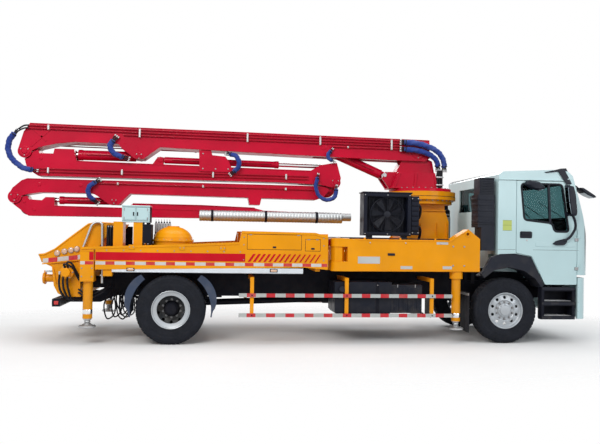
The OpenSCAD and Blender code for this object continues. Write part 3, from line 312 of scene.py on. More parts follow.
M = {"boom": paint("boom_crimson", CRIMSON, 0.34, 0.14, (0.30, 0.01, 0.03), 0.03, 0.10, spec=0.10),
     "line": paint("line_crimson", (0.36, 0.003, 0.020), 0.4, 0.15, (0.20, 0.05, 0.05), 0.06, edge=0.004,
                   spec=0.15), "yellow": paint("deck_amber", AMBER, 0.34, 0.15, (0.58, 0.26, 0.03), 0.14,
                                               spec=0.12), "white": paint("cab_white", WHITE, 0.22, 0.6,
                                                       (0.50, 0.56, 0.60), 0.12, 0.02),
     "chassis": paint("chassis_black", (0.006, 0.007, 0.013), 0.5, 0.0, (0.03, 0.03, 0.035), 0.04, 0.2,
                      spec=0.1), "tank": paint("tank_dark", (0.007, 0.009, 0.017), 0.4, 0.1,
                                               (0.04, 0.04, 0.045), 0.05, 0.1, spec=0.12),
     "cooler": paint("cooler_navy", (0.006, 0.008, 0.018), 0.4, 0.1, (0.03, 0.03, 0.05), 0.05, 0.15,
                     spec=0.12), "black": plastic("black_plastic", (0.007, 0.009, 0.017), 0.45),
     "guard_grey": plastic("mudguard_grey", (0.040, 0.056, 0.095), 0.45, 200.0),
     "dark_interior": plastic("cab_dark_trim", (0.03, 0.032, 0.036), 0.7, 300.0),
     "seat": plastic("seat_cloth", (0.035, 0.04, 0.05), 0.9, 700.0, 0.6),
     "steel": metal("machined_steel", (0.42, 0.43, 0.44), 0.4, (1.0, 1.0, 12.0)),
     "zinc": metal("galvanised", (0.46, 0.47, 0.48), 0.5, None, 0.2, 0.4),
     "bolt": metal("bolt_steel", (0.30, 0.30, 0.31), 0.45),
     "chrome": metal("piston_chrome", (0.78, 0.79, 0.80), 0.12, (12.0, 1.0, 12.0), 0.03, 0.1),
     "rim": paint("rim_silver", (0.42, 0.45, 0.48), 0.35, 0.4, (0.25, 0.25, 0.25), 0.2, 0.05, 0.003, 0.35),
     # Dark paint for the dish and holed disc of the rear rims: partly their own dirt, partly painted shade of
     # the deep dish
     "rim_inner": paint("rim_inner_shade_and_dirt", (0.030, 0.036, 0.045), 0.5, 0.1, (0.10, 0.10, 0.10), 0.3, 0.1,
                        0.003), "tyre": rubber("tyre_rubber"),
     "hose_black": rubber("hose_rubber", (0.007, 0.007, 0.010), 0.55, 0.1),
     "seal": rubber("window_seal", (0.005, 0.006, 0.009), 0.6, 0.05),
     "sleeve": woven("hose_sleeve_blue", (0.018, 0.055, 0.34)),
     "glass": glass_material("cab_glass_tint", (0.215, 0.345, 0.355)),
     "mirror": metal("mirror_glass", (0.12, 0.15, 0.17), 0.08),
     "tape": banded("marking_tape", "X", 0.31, 0.45, 10.0, (0.55, 0.012, 0.02), (0.60, 0.58, 0.56)),
     "rail_bands": banded("guard_rail_bands", "X", 0.313, 0.46, 10.045, (0.50, 0.010, 0.02),
                          (0.42, 0.44, 0.43)), "stripe": paint("deck_red_stripe", (0.56, 0.003, 0.014), 0.35,
                                  0.1, (0.45, 0.05, 0.03), 0.06, spec=0.1),
     "pale_clamp": paint("clamp_white", (0.70, 0.70, 0.68), 0.45, 0.1, (0.4, 0.4, 0.38), 0.2),
     "end_pipe": metal("end_pipe_steel", (0.42, 0.44, 0.45), 0.48, (26.0, 1.0, 1.0), 0.25, 0.3),
     "lamp_pale": lamp_material("lamp_pale", (0.80, 0.50, 0.34)),
     "lamp_red": lamp_material("lamp_red", (0.65, 0.01, 0.01)),
     "lamp_orange": lamp_material("lamp_orange", (0.85, 0.24, 0.01)),
     "lamp_clear": lamp_material("lamp_clear", (0.72, 0.74, 0.76)),
     "sticker": plastic("blank_sticker", (0.50, 0.58, 0.16), 0.4, 120.0, 0.05, 0.05),
     "plate": plastic("blank_plate_grey", (0.50, 0.51, 0.50), 0.35, 200.0, 0.1, 0.08),
     "headliner": plastic("cab_grey_lining", (0.10, 0.11, 0.115), 0.7, 240.0, 0.4),
     "aluminium": metal("aluminium_strip", (0.62, 0.66, 0.70), 0.42, (1.0, 20.0, 20.0), 0.06, 0.25), }


# Mesh helpers

def turns(n):
    """Angles of n even steps round a circle."""
    return [2 * math.pi * i / n for i in range(n)]


def bands(rows, n):
    """Faces between rows of n points each, every row closed on itself."""
    return [(j * n + i, j * n + (i + 1) % n, (j + 1) * n + (i + 1) % n, (j + 1) * n + i)
            for j in range(rows - 1) for i in range(n)]


def end_faces(rows, n):
    """Faces that close the first and the last row."""
    return [tuple(range(n - 1, -1, -1)), tuple((rows - 1) * n + i for i in range(n))]


def frames(path):
    """Each point of a path with two directions across it that don't twist."""
    last = len(path) - 1
    u = (path[1] - path[0]).orthogonal().normalized()
    for i, p in enumerate(path):
        d = (path[min(i + 1, last)] - path[max(i - 1, 0)]).normalized()
        u = (u - d * u.dot(d)).normalized()
        yield p, u, d.cross(u)


class Kit:
    """Collects faces of one piece, with a material for each, and makes the object at the end."""

    def __init__(self, name, body, slot_name):
        self.name, self.body, self.slot_name = name, body, slot_name
        self.verts, self.faces, self.index, self.mats = [], [], [], []
        self.current = 0

    def use(self, key):
        m = M[key]
        if m not in self.mats:
            self.mats.append(m)
        self.current = self.mats.index(m)
        return self

    def add(self, verts, faces):
        n = len(self.verts)
        self.verts.extend([tuple(v) for v in verts])
        self.faces.extend([tuple(i + n for i in f) for f in faces])
        self.index.extend([self.current] * len(faces))
        return self

    def block(self, a, b, bevel):
        """Box with chamfered edges between two opposite corners."""
        spans = [sorted(pair) for pair in zip(a, b)]
        cut = [min(bevel, (high - low) * 0.45) for low, high in spans]
        corners = list(product((0, 1), repeat=3))
        verts, index = [], {}
        for s, axis in product(corners, range(3)):
            index[s, axis] = len(verts)
            verts.append([spans[i][s[i]] + (0 if i == axis else cut[i] * (1 - 2 * s[i])) for i in range(3)])
        faces = []
        for axis in range(3):
            p, q = [i for i in range(3) if i != axis]
            ends = [[s for s in corners if s[axis] == end] for end in (0, 1)]
            faces += [[index[group[i], axis] for i in (0, 1, 3, 2)] for group in ends]
            faces += [[index[s, p], index[t, p], index[t, q], index[s, q]] for s, t in zip(*ends)]
        faces += [[index[s, axis] for axis in range(3)] for s in corners]
        return self.add(verts, faces)

    def prism(self, pts, d0, d1, plane="XZ"):
        """Plate with an outline in X and Z, or in Y and Z, between two values along the third axis."""
        n = len(pts)
        verts = [at(p, d, q) if plane == "XZ" else at(d, p, q) for d in sorted((d0, d1)) for p, q in pts]
        ends = [tuple(range(n)), tuple(range(2 * n - 1, n - 1, -1))]
        return self.add(verts, ends + bands(2, n))

    def revolve(self, centre, axis, profile, sides=48, closed=False):
        """Surface of revolution: profile is a list of (radius, distance along the axis)."""
        c, d = Vector(centre), Vector(axis).normalized()
        u = d.orthogonal().normalized()
        w = d.cross(u)
        verts = [c + d * t + (u * math.cos(k) + w * math.sin(k)) * max(r, 1e-5)
                 for r, t in profile for k in turns(sides)]
        rows = len(profile)
        return self.add(verts, bands(rows, sides) + (end_faces(rows, sides) if closed else []))

    def rod(self, a, b, r, sides=16, chamfer=0.0):
        """Round bar between two points, with chamfered ends."""
        axis = Vector(b) - Vector(a)
        length = axis.length
        profile = [(r - chamfer, 0.0), (r, chamfer), (r, length - chamfer), (r - chamfer, length)]
        return self.revolve(a, axis, profile if chamfer else [(r, 0.0), (r, length)], sides, True)

    def tube(self, path, r, sides=10):
        """Round tube along a path of points."""
        points = [Vector(q) for q in path]
        verts = [p + (u * math.cos(k) + w * math.sin(k)) * r
                 for p, u, w in frames(points) for k in turns(sides)]
        return self.add(verts, bands(len(points), sides) + end_faces(len(points), sides))

    def pipe(self, places, bend, r, sides=10):
        """Tube through (x, y, z) places, with rounded bends."""
        return self.tube(rounded_path([at(*p) for p in places], bend), r, sides)

    def hose(self, places, r, sides=8):
        """Tube in a smooth curve through (x, y, z) places."""
        return self.tube(spline([at(*p) for p in places]), r, sides)

    def hexbolt(self, p, normal, r, h):
        """Hexagon head on a washer."""
        n = Vector(normal).normalized()
        p = Vector(p)
        self.rod(p, p + n * 0.002, r * 1.25, 14)
        return self.rod(p + n * 0.002, p + n * (0.002 + h), r, 6, chamfer=r * 0.12)

    def bolt_ring(self, centre, axis, radius, count, r, h, phase=0.0):
        """Hexagon heads round a centre, across an axis along Y or Z."""
        for a in turns(count):
            c, s = radius * math.cos(a + phase), radius * math.sin(a + phase)
            self.hexbolt(Vector(centre) + Vector((c, 0, s) if axis[1] else (c, s, 0)), axis, r, h)

    def make(self, angle, bevel=None):
        """Makes the object. Shading breaks above the angle, in degrees; bevel is the width of soft edges."""
        mesh = bpy.data.meshes.new(self.name)
        mesh.from_pydata(self.verts, [], self.faces)
        for m in self.mats:
            mesh.materials.append(m)
        mesh.polygons.foreach_set("material_index", self.index)
        bm = bmesh.new()
        bm.from_mesh(mesh)
        bmesh.ops.recalc_face_normals(bm, faces=bm.faces)
        bm.to_mesh(mesh)
        bm.free()
        mesh.polygons.foreach_set("use_smooth", [True] * len(mesh.polygons))
        mesh.set_sharp_from_angle(angle=math.radians(angle))
        o = bpy.data.objects.new(self.name, mesh)
        bpy.context.scene.collection.objects.link(o)
        if bevel:
            b = o.modifiers.new("soft_edges", "BEVEL")
            b.width = bevel
            b.segments = 2
            b.limit_method = "ANGLE"
            b.angle_limit = math.radians(40)
        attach(o, self.body)
        return o


def round_corner(before, corner, after, radius, share, steps):
    """Points of the curve that rounds a corner, within a share of both edges."""
    a, b = before - corner, after - corner
    r = min(radius, a.length * share, b.length * share)
    s, e = corner + a.normalized() * r, corner + b.normalized() * r
    return [s * (1 - t) ** 2 + corner * 2 * t * (1 - t) + e * t * t
            for t in (i / steps for i in range(steps + 1))]


def rounded_path(pts, radius):
    """Points of a path whose corners are rounded."""
    p = [Vector(q) for q in pts]
    out = [p[0]]
    for before, corner, after in zip(p, p[1:], p[2:]):
        out += round_corner(before, corner, after, radius, 0.49, 6)
    return out + [p[-1]]


def rounded_loop(pts, radius, steps=5):
    """Closed outline of (x, z) points with rounded corners."""
    p = [Vector(q) for q in pts]
    out = []
    for i, corner in enumerate(p):
        out += round_corner(p[i - 1], corner, p[(i + 1) % len(p)], radius, 0.45, steps)
    return [tuple(q) for q in out]


def spline(pts, per=8):
    """Smooth curve through all points."""
    p = [Vector(q) for q in pts]
    p = [p[0] * 2 - p[1], *p, p[-1] * 2 - p[-2]]
    out = []
    for a, b, c, d in zip(p, p[1:], p[2:], p[3:]):
        for t in (k / per for k in range(per)):
            square, cube = 2 * a - 5 * b + 4 * c - d, 3 * b - a - 3 * c + d
            out.append(0.5 * ((2 * b) + (c - a) * t + square * t * t + cube * t ** 3))
    return out + [p[-2]]


def lerp(table):
    """Function that reads a table of (place, value) pairs, level past its ends."""
    def value(x):
        for (x0, y0), (x1, y1) in zip(table, table[1:]):
            if x0 <= x <= x1:
                return y0 + (y1 - y0) * (x - x0) / (x1 - x0)
        return table[0][1] if x < table[0][0] else table[-1][1]
    return value


def sheet(kit, loops, y0, y1):
    """Flat plate with holes: the first outline is the edge and the others are cut out."""
    flat = [p for loop in loops for p in loop]
    n = len(flat)
    tris = tessellate_polygon([[Vector((x, z, 0)) for x, z in loop] for loop in loops])
    faces = [tuple(i + layer for i in f) for layer in (0, n) for f in tris]
    start = 0
    for m in map(len, loops):
        faces += [(start + i, start + (i + 1) % m, n + start + (i + 1) % m, n + start + i) for i in range(m)]
        start += m
    kit.add([at(x, y, z) for y in (y0, y1) for x, z in flat], faces)


def loft(kit, stations):
    """Solid through closed sections with the same number of points."""
    rows, n = len(stations), len(stations[0])
    kit.add([p for ring in stations for p in ring], bands(rows, n) + end_faces(rows, n))


def pod(kit, outline, middle, stations):
    """Shell of one outline in X and Z, scaled about its middle at each (y, scale)."""
    mx, mz = middle
    loft(kit, [[at(mx + (x - mx) * g, y, mz + (z - mz) * g) for x, z in outline] for y, g in stations])


def dress(name, *rules, base):
    """Materials of a CAD node: base everywhere, and others on the faces whose middle passes their test."""
    mesh = nodes[name].data
    mesh.materials.clear()
    for key in (base, *(key for key, _ in rules)):
        mesh.materials.append(M[key])
    index = []
    for p in mesh.polygons:
        x, y, z = p.center
        passed = [j + 1 for j, (_, test) in enumerate(rules) if test(x + MID, y, z, p.normal)]
        index.append(passed[-1] if passed else 0)
    mesh.polygons.foreach_set("material_index", index)
    mesh.update()


# Wheels: tyres with their tread, rims with round holes, hubs and nuts

def tyre(kit, centre, side):
    """Truck tyre: ribbed side walls, four grooves round the tread and cross grooves on the shoulders."""
    wall = [(0.292, -0.112), (0.297, -0.120), (0.312, -0.128), (0.330, -0.133), (0.334, -0.1305),
            (0.340, -0.1305), (0.344, -0.135), (0.385, -0.1400), (0.420, -0.1422), (0.424, -0.1410),
            (0.428, -0.1422), (0.462, -0.1408), (0.482, -0.1385), (0.4845, -0.1415), (0.4905, -0.1410),
            (0.493, -0.1370), (0.508, -0.1345), (0.522, -0.1285), (0.534, -0.1200), (0.5435, -0.1100)]
    lugs, edge, shoulder = 54, 0.104, 0.0665
    tread, start = [], -edge
    for g in (-0.064, -0.021, 0.021, 0.064):
        tread += [(TYRE_R, start), (TYRE_R, g - 0.0055),
                  (TYRE_R - 0.013, g - 0.004), (TYRE_R - 0.013, g + 0.004)]
        start = g + 0.0055
    tread += [(TYRE_R, start), (TYRE_R, edge)]
    profile = wall + tread + [(r, -d) for r, d in reversed(wall)]
    cuts = [(i + t) / lugs * 2 * math.pi for i in range(lugs) for t in (0.0, 0.40, 0.78, 0.81, 0.93)]
    c = Vector(centre)
    verts = []
    for r, d in profile:
        for i, a in enumerate(cuts):
            q, skew = r, 0.0
            in_groove = i % 5 in (3, 4)
            if in_groove and abs(d) > shoulder and r > 0.53:
                q = r - 0.011 * min(1.0, (r - 0.52) / 0.02)
            if in_groove and abs(d) < shoulder and r > 0.545:
                q = r - 0.003
            if abs(d) < shoulder:
                skew = 0.35 * math.pi / lugs * math.sin(d / 0.021 * math.pi / 2)
            verts.append((c.x + q * math.cos(a + skew), c.y + side * d, c.z + q * math.sin(a + skew)))
    kit.use("tyre").add(verts, bands(len(profile), len(cuts)))


def holed_disc(kit, centre, side, depth, hole):
    """Wheel disc with a circle of ten round holes; depth(r) is its place along the axle."""
    r_in, r_out, pitch, count, thick = 0.176, 0.264, 0.221, 10, 0.012
    arc_n, side_n = 8, 4
    c = Vector(centre)
    step = 2 * math.pi / count
    for a0 in (k * step for k in range(count)):
        border = [(r_out, a0 + step * i / arc_n) for i in range(arc_n)]
        border += [(r_out + (r_in - r_out) * i / side_n, a0 + step) for i in range(side_n)]
        border += [(r_in, a0 + step * (1 - i / arc_n)) for i in range(arc_n)]
        border += [(r_in + (r_out - r_in) * i / side_n, a0) for i in range(side_n)]
        flat = [(r * math.cos(a), r * math.sin(a)) for r, a in border]
        mx, mz = pitch * math.cos(a0 + step / 2), pitch * math.sin(a0 + step / 2)
        angles = [math.atan2(z - mz, x - mx) for x, z in flat]
        lip, edge = [[(mx + r * math.cos(a), mz + r * math.sin(a)) for a in angles] for r in (hole * 1.18,
                hole)]
        front = ((flat, 0.0), (lip, 0.0), (edge, -0.002), (edge, -thick))
        back = ((flat, -thick), (edge, -thick))
        for rings in (front, back):
            verts = [(c.x + x, c.y + side * (depth(math.hypot(x, z)) + off), c.z + z)
                     for ring, off in rings for x, z in ring]
            kit.add(verts, bands(len(rings), len(flat)))


def nut_ring(kit, centre, side, y):
    """Ten wheel nuts on their washers, with the ends of the studs."""
    kit.use("bolt")
    pitch, count, size = 0.1425, 10, 0.016
    n = Vector((0, side, 0))
    for a in turns(count):
        a += math.pi / count
        p = Vector(centre) + Vector((pitch * math.cos(a), side * y, pitch * math.sin(a)))
        kit.rod(p, p + n * 0.004, size * 1.3, 16, chamfer=0.001)
        kit.rod(p + n * 0.004, p + n * 0.022, size, 6, chamfer=0.002)
        kit.rod(p + n * 0.022, p + n * 0.034, size * 0.55, 10, chamfer=0.0015)


# Edge of both rims, from the tyre's bead outwards
RIM_EDGE = [(0.290, 0.108), (0.297, 0.117), (0.303, 0.123), (0.304, 0.129), (0.299, 0.131), (0.292, 0.127)]


def front_wheel(name, side):
    centre = at(FRONT, side * 1.0275, TYRE_R)
    k = Kit("tyre_" + name, "front_" + name + "_wheel", "tyre")
    tyre(k, centre, side)
    o = k.make(30)
    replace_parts(o, "wheel_front_" + name)
    k = Kit("rim_front_" + name, "front_" + name + "_wheel", "tyre").use("rim")
    axis = (0, side, 0)
    k.revolve(centre, axis, RIM_EDGE + [(0.287, 0.118), (0.283, 0.104), (0.279, 0.092), (0.268, 0.080),
                                        (0.262, 0.074), (0.264, 0.060), (0.272, 0.020), (0.272, -0.09),
                                        (0.286, -0.112), (0.300, -0.122), (0.296, -0.117), (0.290, -0.108)],
              96)
    holed_disc(k, centre, side, lerp([(0.150, 0.080), (0.178, 0.092), (0.262, 0.074)]), 0.026)
    k.revolve(centre, axis, [(0.177, 0.0915), (0.168, 0.0885), (0.160, 0.080), (0.120, 0.080),
                             (0.118, 0.084), (0.117, 0.098), (0.108, 0.104), (0.090, 0.106)], 64)
    k.revolve(centre, axis, [(0.091, 0.104), (0.090, 0.118), (0.084, 0.125), (0.045, 0.130), (0.0, 0.131)],
              48)
    k.bolt_ring(centre + Vector((0, side * 0.105, 0)), axis, 0.103, 8, 0.008, 0.007)
    nut_ring(k, centre, side, 0.080)
    k.make(30)


def rear_wheels(name, side):
    for off, turn in ((0.1575, 1), (-0.1575, -1)):
        centre = at(0, side * (0.9 + off), TYRE_R)
        place = name + ("_outer" if turn > 0 else "_inner")
        k = Kit("tyre_rear_" + place, "rear_" + name + "_wheels", "tyre")
        tyre(k, centre, side * turn)
        o = k.make(30)
        if turn > 0:
            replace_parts(o, "wheel_rear_" + name)
        k = Kit("rim_rear_" + place, "rear_" + name + "_wheels", "tyre").use("rim")
        d = (0, side * turn, 0)
        k.revolve(centre, d, RIM_EDGE + [(0.288, 0.118), (0.284, 0.104), (0.262, 0.096), (0.226, 0.088),
                                         (0.222, 0.084), (0.222, 0.070)], 96)
        k.revolve(centre, d, [(0.300, -0.122), (0.286, -0.115), (0.268, -0.105), (0.262, -0.095)], 96)
        # Dish and holed disc inside the rear rims in dark paint: partly dirt, partly painted shade of the
        # deep dish
        k.use("rim_inner").revolve(centre, d, [(0.222, 0.070), (0.240, 0.060), (0.266, 0.000),
                                               (0.264, -0.060), (0.262, -0.095)], 96)
        depth = lerp([(0.110, -0.143), (0.184, -0.143), (0.230, -0.118), (0.263, -0.098)])
        holed_disc(k, centre, side * turn, depth, 0.025)
        if turn > 0:
            k.revolve(centre, d, [(0.178, -0.143), (0.120, -0.143)], 64)
            k.use("chassis").revolve(centre, d, [
                (0.128, -0.143), (0.126, -0.085), (0.120, -0.078), (0.108, -0.074), (0.106, -0.020),
                (0.100, -0.014), (0.088, -0.012), (0.086, 0.002), (0.078, 0.008), (0.0, 0.010)], 56)
            k.bolt_ring(centre - Vector((0, side * 0.013, 0)), d, 0.096, 8, 0.008, 0.007)
            nut_ring(k, centre, side, -0.143)
        else:
            k.revolve(centre, d, [(0.178, -0.143), (0.100, -0.143), (0.100, -0.100)], 64)
        k.make(30)


for name, side in (("right", -1), ("left", 1)):
    front_wheel(name, side)
    rear_wheels(name, side)


# Boom: pipes along the sections, their clamps, welded edge strips, pins and hoses

W1, W2, W3, W4 = 0.200, 0.170, 0.145, 0.120


def pipe_bank(kit, side, y, ends):
    """Thin pipes in parallel, each between two (x, z) ends."""
    kit.use("line")
    for (xa, za), (xb, zb) in ends:
        steps = [i / 12 for i in range(13)]
        kit.tube([at(xa + (xb - xa) * t, side * y, za + (zb - za) * t) for t in steps], 0.0105, 10)


def clamp_stack(kit, side, y, x, z0, z1):
    """Two-part pipe clamp with its bolts."""
    back, face, front = side * (y - 0.024), side * (y + 0.020), side * (y + 0.024)
    kit.use("pale_clamp").block(at(x - 0.015, back, z0), at(x + 0.015, face, z1), 0.004)
    kit.use("zinc").block(at(x - 0.013, face, z0 + 0.004), at(x + 0.013, front, z1 - 0.004), 0.0015)
    for z in (z0 + 0.012, z1 - 0.012):
        kit.hexbolt(at(x, front, z), (0, side, 0), 0.006, 0.005)


def edge_strip(kit, side, w, top, bottom):
    """Flange plates that stand proud of the side plate along the top and bottom of a section."""
    kit.use("boom")
    for line, low, high in ((top, -0.012, 0.0), (bottom, 0.0, 0.012)):
        for (xa, za), (xb, zb) in zip(line, line[1:]):
            kit.prism([(xa, za + low), (xb, zb + low), (xb, zb + high), (xa, za + high)],
                      side * (w - 0.001), side * (w + 0.008))


def bosses(kit, side, w, places, r):
    """Round boss plates with a pin and its keeper bolts."""
    for x, z in places:
        c, axis = at(x, side * w, z), (0, side, 0)
        plate = ((1.0, -0.001), (1.0, 0.008), (0.94, 0.012), (0.62, 0.012), (0.60, 0.009), (0.5, 0.009))
        pin = ((0.5, 0.004), (0.5, 0.016), (0.45, 0.020), (0.0, 0.020))
        kit.use("boom")
        for profile, sides in ((plate, 40), (pin, 32)):
            kit.revolve(c, axis, [(r * share, d) for share, d in profile], sides)
        keeper = at(x, side * (w + 0.012), z)
        kit.use("bolt").bolt_ring(keeper, axis, r * 0.78, 3, 0.008, 0.006, math.radians(30))


def shell_dots(kit, side, w, places, r):
    """Half round stiffening pads welded to the side plate."""
    kit.use("boom")
    for x, z in places:
        profile = [(r, -0.001), (r, 0.004), (r * 0.86, 0.008), (r * 0.5, 0.009), (0, 0.009)]
        kit.revolve(at(x, side * w, z), (0, side, 0), profile, 28)


TOP_1 = [(-2.45, 3.588), (1.0, 3.561), (4.505, 3.530)]
BOTTOM_1 = [(-2.04, 3.252), (-1.71, 3.292), (-1.0, 3.280)]
BOTTOM_1B = [(-0.30, 3.247), (0.37, 3.227), (3.60, 3.152), (4.42, 3.142)]


for side in (-1, 1):
    tag = "right" if side < 0 else "left"
    k = Kit("boom_1_fittings_" + tag, "arm_1", "boom_red")
    edge_strip(k, side, W1, TOP_1, BOTTOM_1)
    edge_strip(k, side, W1, [], BOTTOM_1B)
    if side < 0:
        pipe_bank(k, side, W1 + 0.030, [((-2.48, 3.545), (4.05, 3.492)), ((-2.48, 3.497), (4.05, 3.444)),
                                        ((-0.92, 3.432), (4.05, 3.396)), ((2.70, 3.352), (4.05, 3.346))])
        for x in (-2.152, -0.642, 1.206, 2.496, 3.796):
            top = lerp([(-2.48, 3.545), (4.05, 3.492)])(x) + 0.018
            low = top - 0.084 if x < -1 else (top - 0.150 if x < 3 else top - 0.186)
            clamp_stack(k, side, W1 + 0.030, x, low, top)
        clamp_stack(k, side, W1 + 0.030, 3.0, 3.335, 3.368)
    else:
        pipe_bank(k, side, W1 + 0.026, [((-2.3, 3.30), (3.7, 3.235)), ((-2.3, 3.265), (3.7, 3.200))])
        for x in (-1.2, 0.3, 1.7, 3.2):
            clamp_stack(k, side, W1 + 0.026, x, lerp([(-2.3, 3.265), (3.7, 3.200)])(x) - 0.018,
                        lerp([(-2.3, 3.30), (3.7, 3.235)])(x) + 0.018)
    bosses(k, side, W1, [(-2.54, 3.11)], 0.088)
    bosses(k, side, W1, [(4.30, 3.30)], 0.120)
    bosses(k, side, W1, [(-0.65, 3.09)], 0.060)
    k.use("boom")
    for pts in (((-2.46, 3.20), (-2.18, 3.47), (-2.15, 3.45), (-2.43, 3.18)),
                ((-2.40, 3.47), (-2.20, 3.28), (-2.18, 3.30), (-2.38, 3.49))):
        k.prism(pts, side * (W1 - 0.001), side * (W1 + 0.006))
    if side < 0:
        plate = [(0.37, 3.22), (0.58, 3.23), (0.60, 3.14), (0.83, 3.12), (0.90, 3.02), (0.97, 2.85),
                 (0.38, 2.85)]
        k.prism(plate, -0.188, -0.176)
        k.use("bolt")
        for x, z in ((0.44, 2.90), (0.66, 2.90), (0.88, 2.90), (0.44, 3.16)):
            k.hexbolt(at(x, -0.188, z), RIGHT, 0.010, 0.008)
    shell_dots(k, side, W1, [(2.56, 3.352)], 0.060)
    k.make(36, 0.0012)
    k = Kit("boom_2_fittings_" + tag, "arm_2", "boom_red")
    edge_strip(k, side, W2, [(-1.70, 2.974), (1.74, 2.927), (2.34, 2.920)],
               [(-2.32, 2.702), (1.74, 2.697), (2.52, 2.674)])
    if side < 0:
        pipe_bank(k, side, W2 + 0.030, [((-2.33, 2.822), (2.30, 2.812)), ((-2.33, 2.772), (2.30, 2.762))])
        for x in (-2.15, -0.93, 0.62, 1.9):
            clamp_stack(k, side, W2 + 0.030, x, 2.747, 2.842)
    else:
        pipe_bank(k, side, W2 + 0.026, [((-2.1, 2.760), (2.2, 2.750))])
        for x in (-1.3, 0.2, 1.6):
            clamp_stack(k, side, W2 + 0.026, x, 2.738, 2.775)
    bosses(k, side, W2, [(2.79, 2.72)], 0.078)
    shell_dots(k, side, W2, [(-2.28, 3.00), (-2.15, 2.78)], 0.030)
    shell_dots(k, side, 0.069, [(-0.30, 3.046)], 0.050)
    k.make(36, 0.0012)
    k = Kit("boom_3_fittings_" + tag, "arm_3", "boom_red")
    edge_strip(k, side, W3, [(-2.50, 2.655), (2.53, 2.648)], [(-2.30, 2.422), (-1.42, 2.427)])
    edge_strip(k, side, W3, [], [(-0.80, 2.432), (1.24, 2.414)])
    edge_strip(k, side, W3, [], [(1.475, 2.410), (2.45, 2.402)])
    if side < 0:
        pipe_bank(k, side, W3 + 0.028, [((-1.42, 2.600), (2.45, 2.575))])
        for x in (-1.0, 0.45, 1.9):
            z = lerp([(-1.42, 2.600), (2.45, 2.575)])(x)
            clamp_stack(k, side, W3 + 0.028, x, z - 0.022, z + 0.022)
    bosses(k, side, W3, [(-2.698, 2.34)], 0.080)
    bosses(k, side, W3, [(-1.06, 2.30)], 0.048)
    shell_dots(k, side, W3, [(-2.30, 2.56), (-1.62, 2.56)], 0.034)
    k.make(36, 0.0012)
    k = Kit("boom_4_fittings_" + tag, "arm_4", "boom_red")
    edge_strip(k, side, W4, [(-2.05, 2.202), (3.04, 2.152)], [(-2.47, 2.022), (3.04, 2.052)])
    shell_dots(k, side, W4, [(-2.55, 2.26), (-2.38, 2.13)], 0.026)
    k.make(36, 0.0012)

# Pale end pipe along the last section, with its rings and straps
END_PIPE_Y, END_PIPE_Z = -0.216, 2.083
k = Kit("end_pipe_sleeve", "arm_4", "steel").use("end_pipe")
ring = [(0.0, 0.39)]
for i in range(47):
    x = 0.40 + i * 0.0535
    ring += [(0.092, x), (0.096, x + 0.010), (0.096, x + 0.036), (0.092, x + 0.046)]
ring.append((0.0, ring[-1][1] + 0.01))
k.revolve(at(0, END_PIPE_Y, END_PIPE_Z), AHEAD, ring, 28)
k.use("chassis")
for x in (0.62, 1.55, 2.45):
    k.revolve(at(x, END_PIPE_Y, END_PIPE_Z), AHEAD, [(0.093, -0.022), (0.101, -0.020), (0.101, 0.020),
            (0.093, 0.022)], 28)
k.make(36)

# Raised back of the last section, with its top plate
k = Kit("boom_4_back", "arm_4", "boom_red").use("boom")
back = [(-0.86, 2.195), (-0.74, 2.262), (0.42, 2.258), (1.36, 2.232), (1.52, 2.192), (3.03, 2.160),
        (3.03, 2.130), (-0.86, 2.165)]
k.prism(back, -W4 + 0.004, W4 - 0.004)
top = [(-0.75, 2.262), (0.42, 2.258), (1.36, 2.232), (1.36, 2.241), (0.42, 2.267), (-0.75, 2.271)]
k.prism(top, -W4 - 0.010, W4 + 0.010)
k.make(36, 0.0012)

# Turret: gussets, lower strip, pin ends and the ring of bolts round the slewing axis
SLEW_X = 4.40
k = Kit("turret_fittings", "turret", "boom_red")
for side in (-1, 1):
    k.use("boom")
    for x0, x1, x2, x3 in ((3.83, 3.86, 3.965, 3.935), (4.615, 4.645, 4.598, 4.568),
                           (4.20, 4.24, 4.27, 4.23)):
        k.prism([(x0, 2.642), (x1, 2.642), (x2, 2.925), (x3, 2.925)], side * 0.269, side * 0.285)
    k.prism([(3.81, 2.640), (4.64, 2.640), (4.64, 2.660), (3.81, 2.660)], side * 0.269, side * 0.300)
    k.use("steel").revolve(at(3.70, side * 0.146, 2.88), (0, side, 0),
                           [(0.036, 0.0), (0.036, 0.008), (0.032, 0.012), (0.0, 0.012)], 28)
    k.use("bolt").hexbolt(at(3.74, side * 0.146, 2.93), (0, side, 0), 0.009, 0.007)
k.use("bolt")
k.bolt_ring(at(SLEW_X, 0, 2.6405), UP, 0.525, 30, 0.013, 0.012)
k.make(36, 0.0012)

# Slewing ring: its two edges and the bolts under the flange
k = Kit("slewing_ring_bolts", "truck", "deck_yellow")
k.use("yellow").revolve(at(SLEW_X, 0, 2.43), UP, [(0.6405, 0.002), (0.6455, 0.006), (0.6455, 0.058),
        (0.6405, 0.060)], 96)
k.use("chassis").revolve(at(SLEW_X, 0, 2.43), UP, [(0.6412, 0.060), (0.6425, 0.061), (0.6425, 0.068),
        (0.6412, 0.069)], 96)
k.use("bolt")
k.bolt_ring(at(SLEW_X, 0, 2.4295), (0, 0, -1), 0.60, 36, 0.014, 0.014, math.pi / 36)
k.make(36)

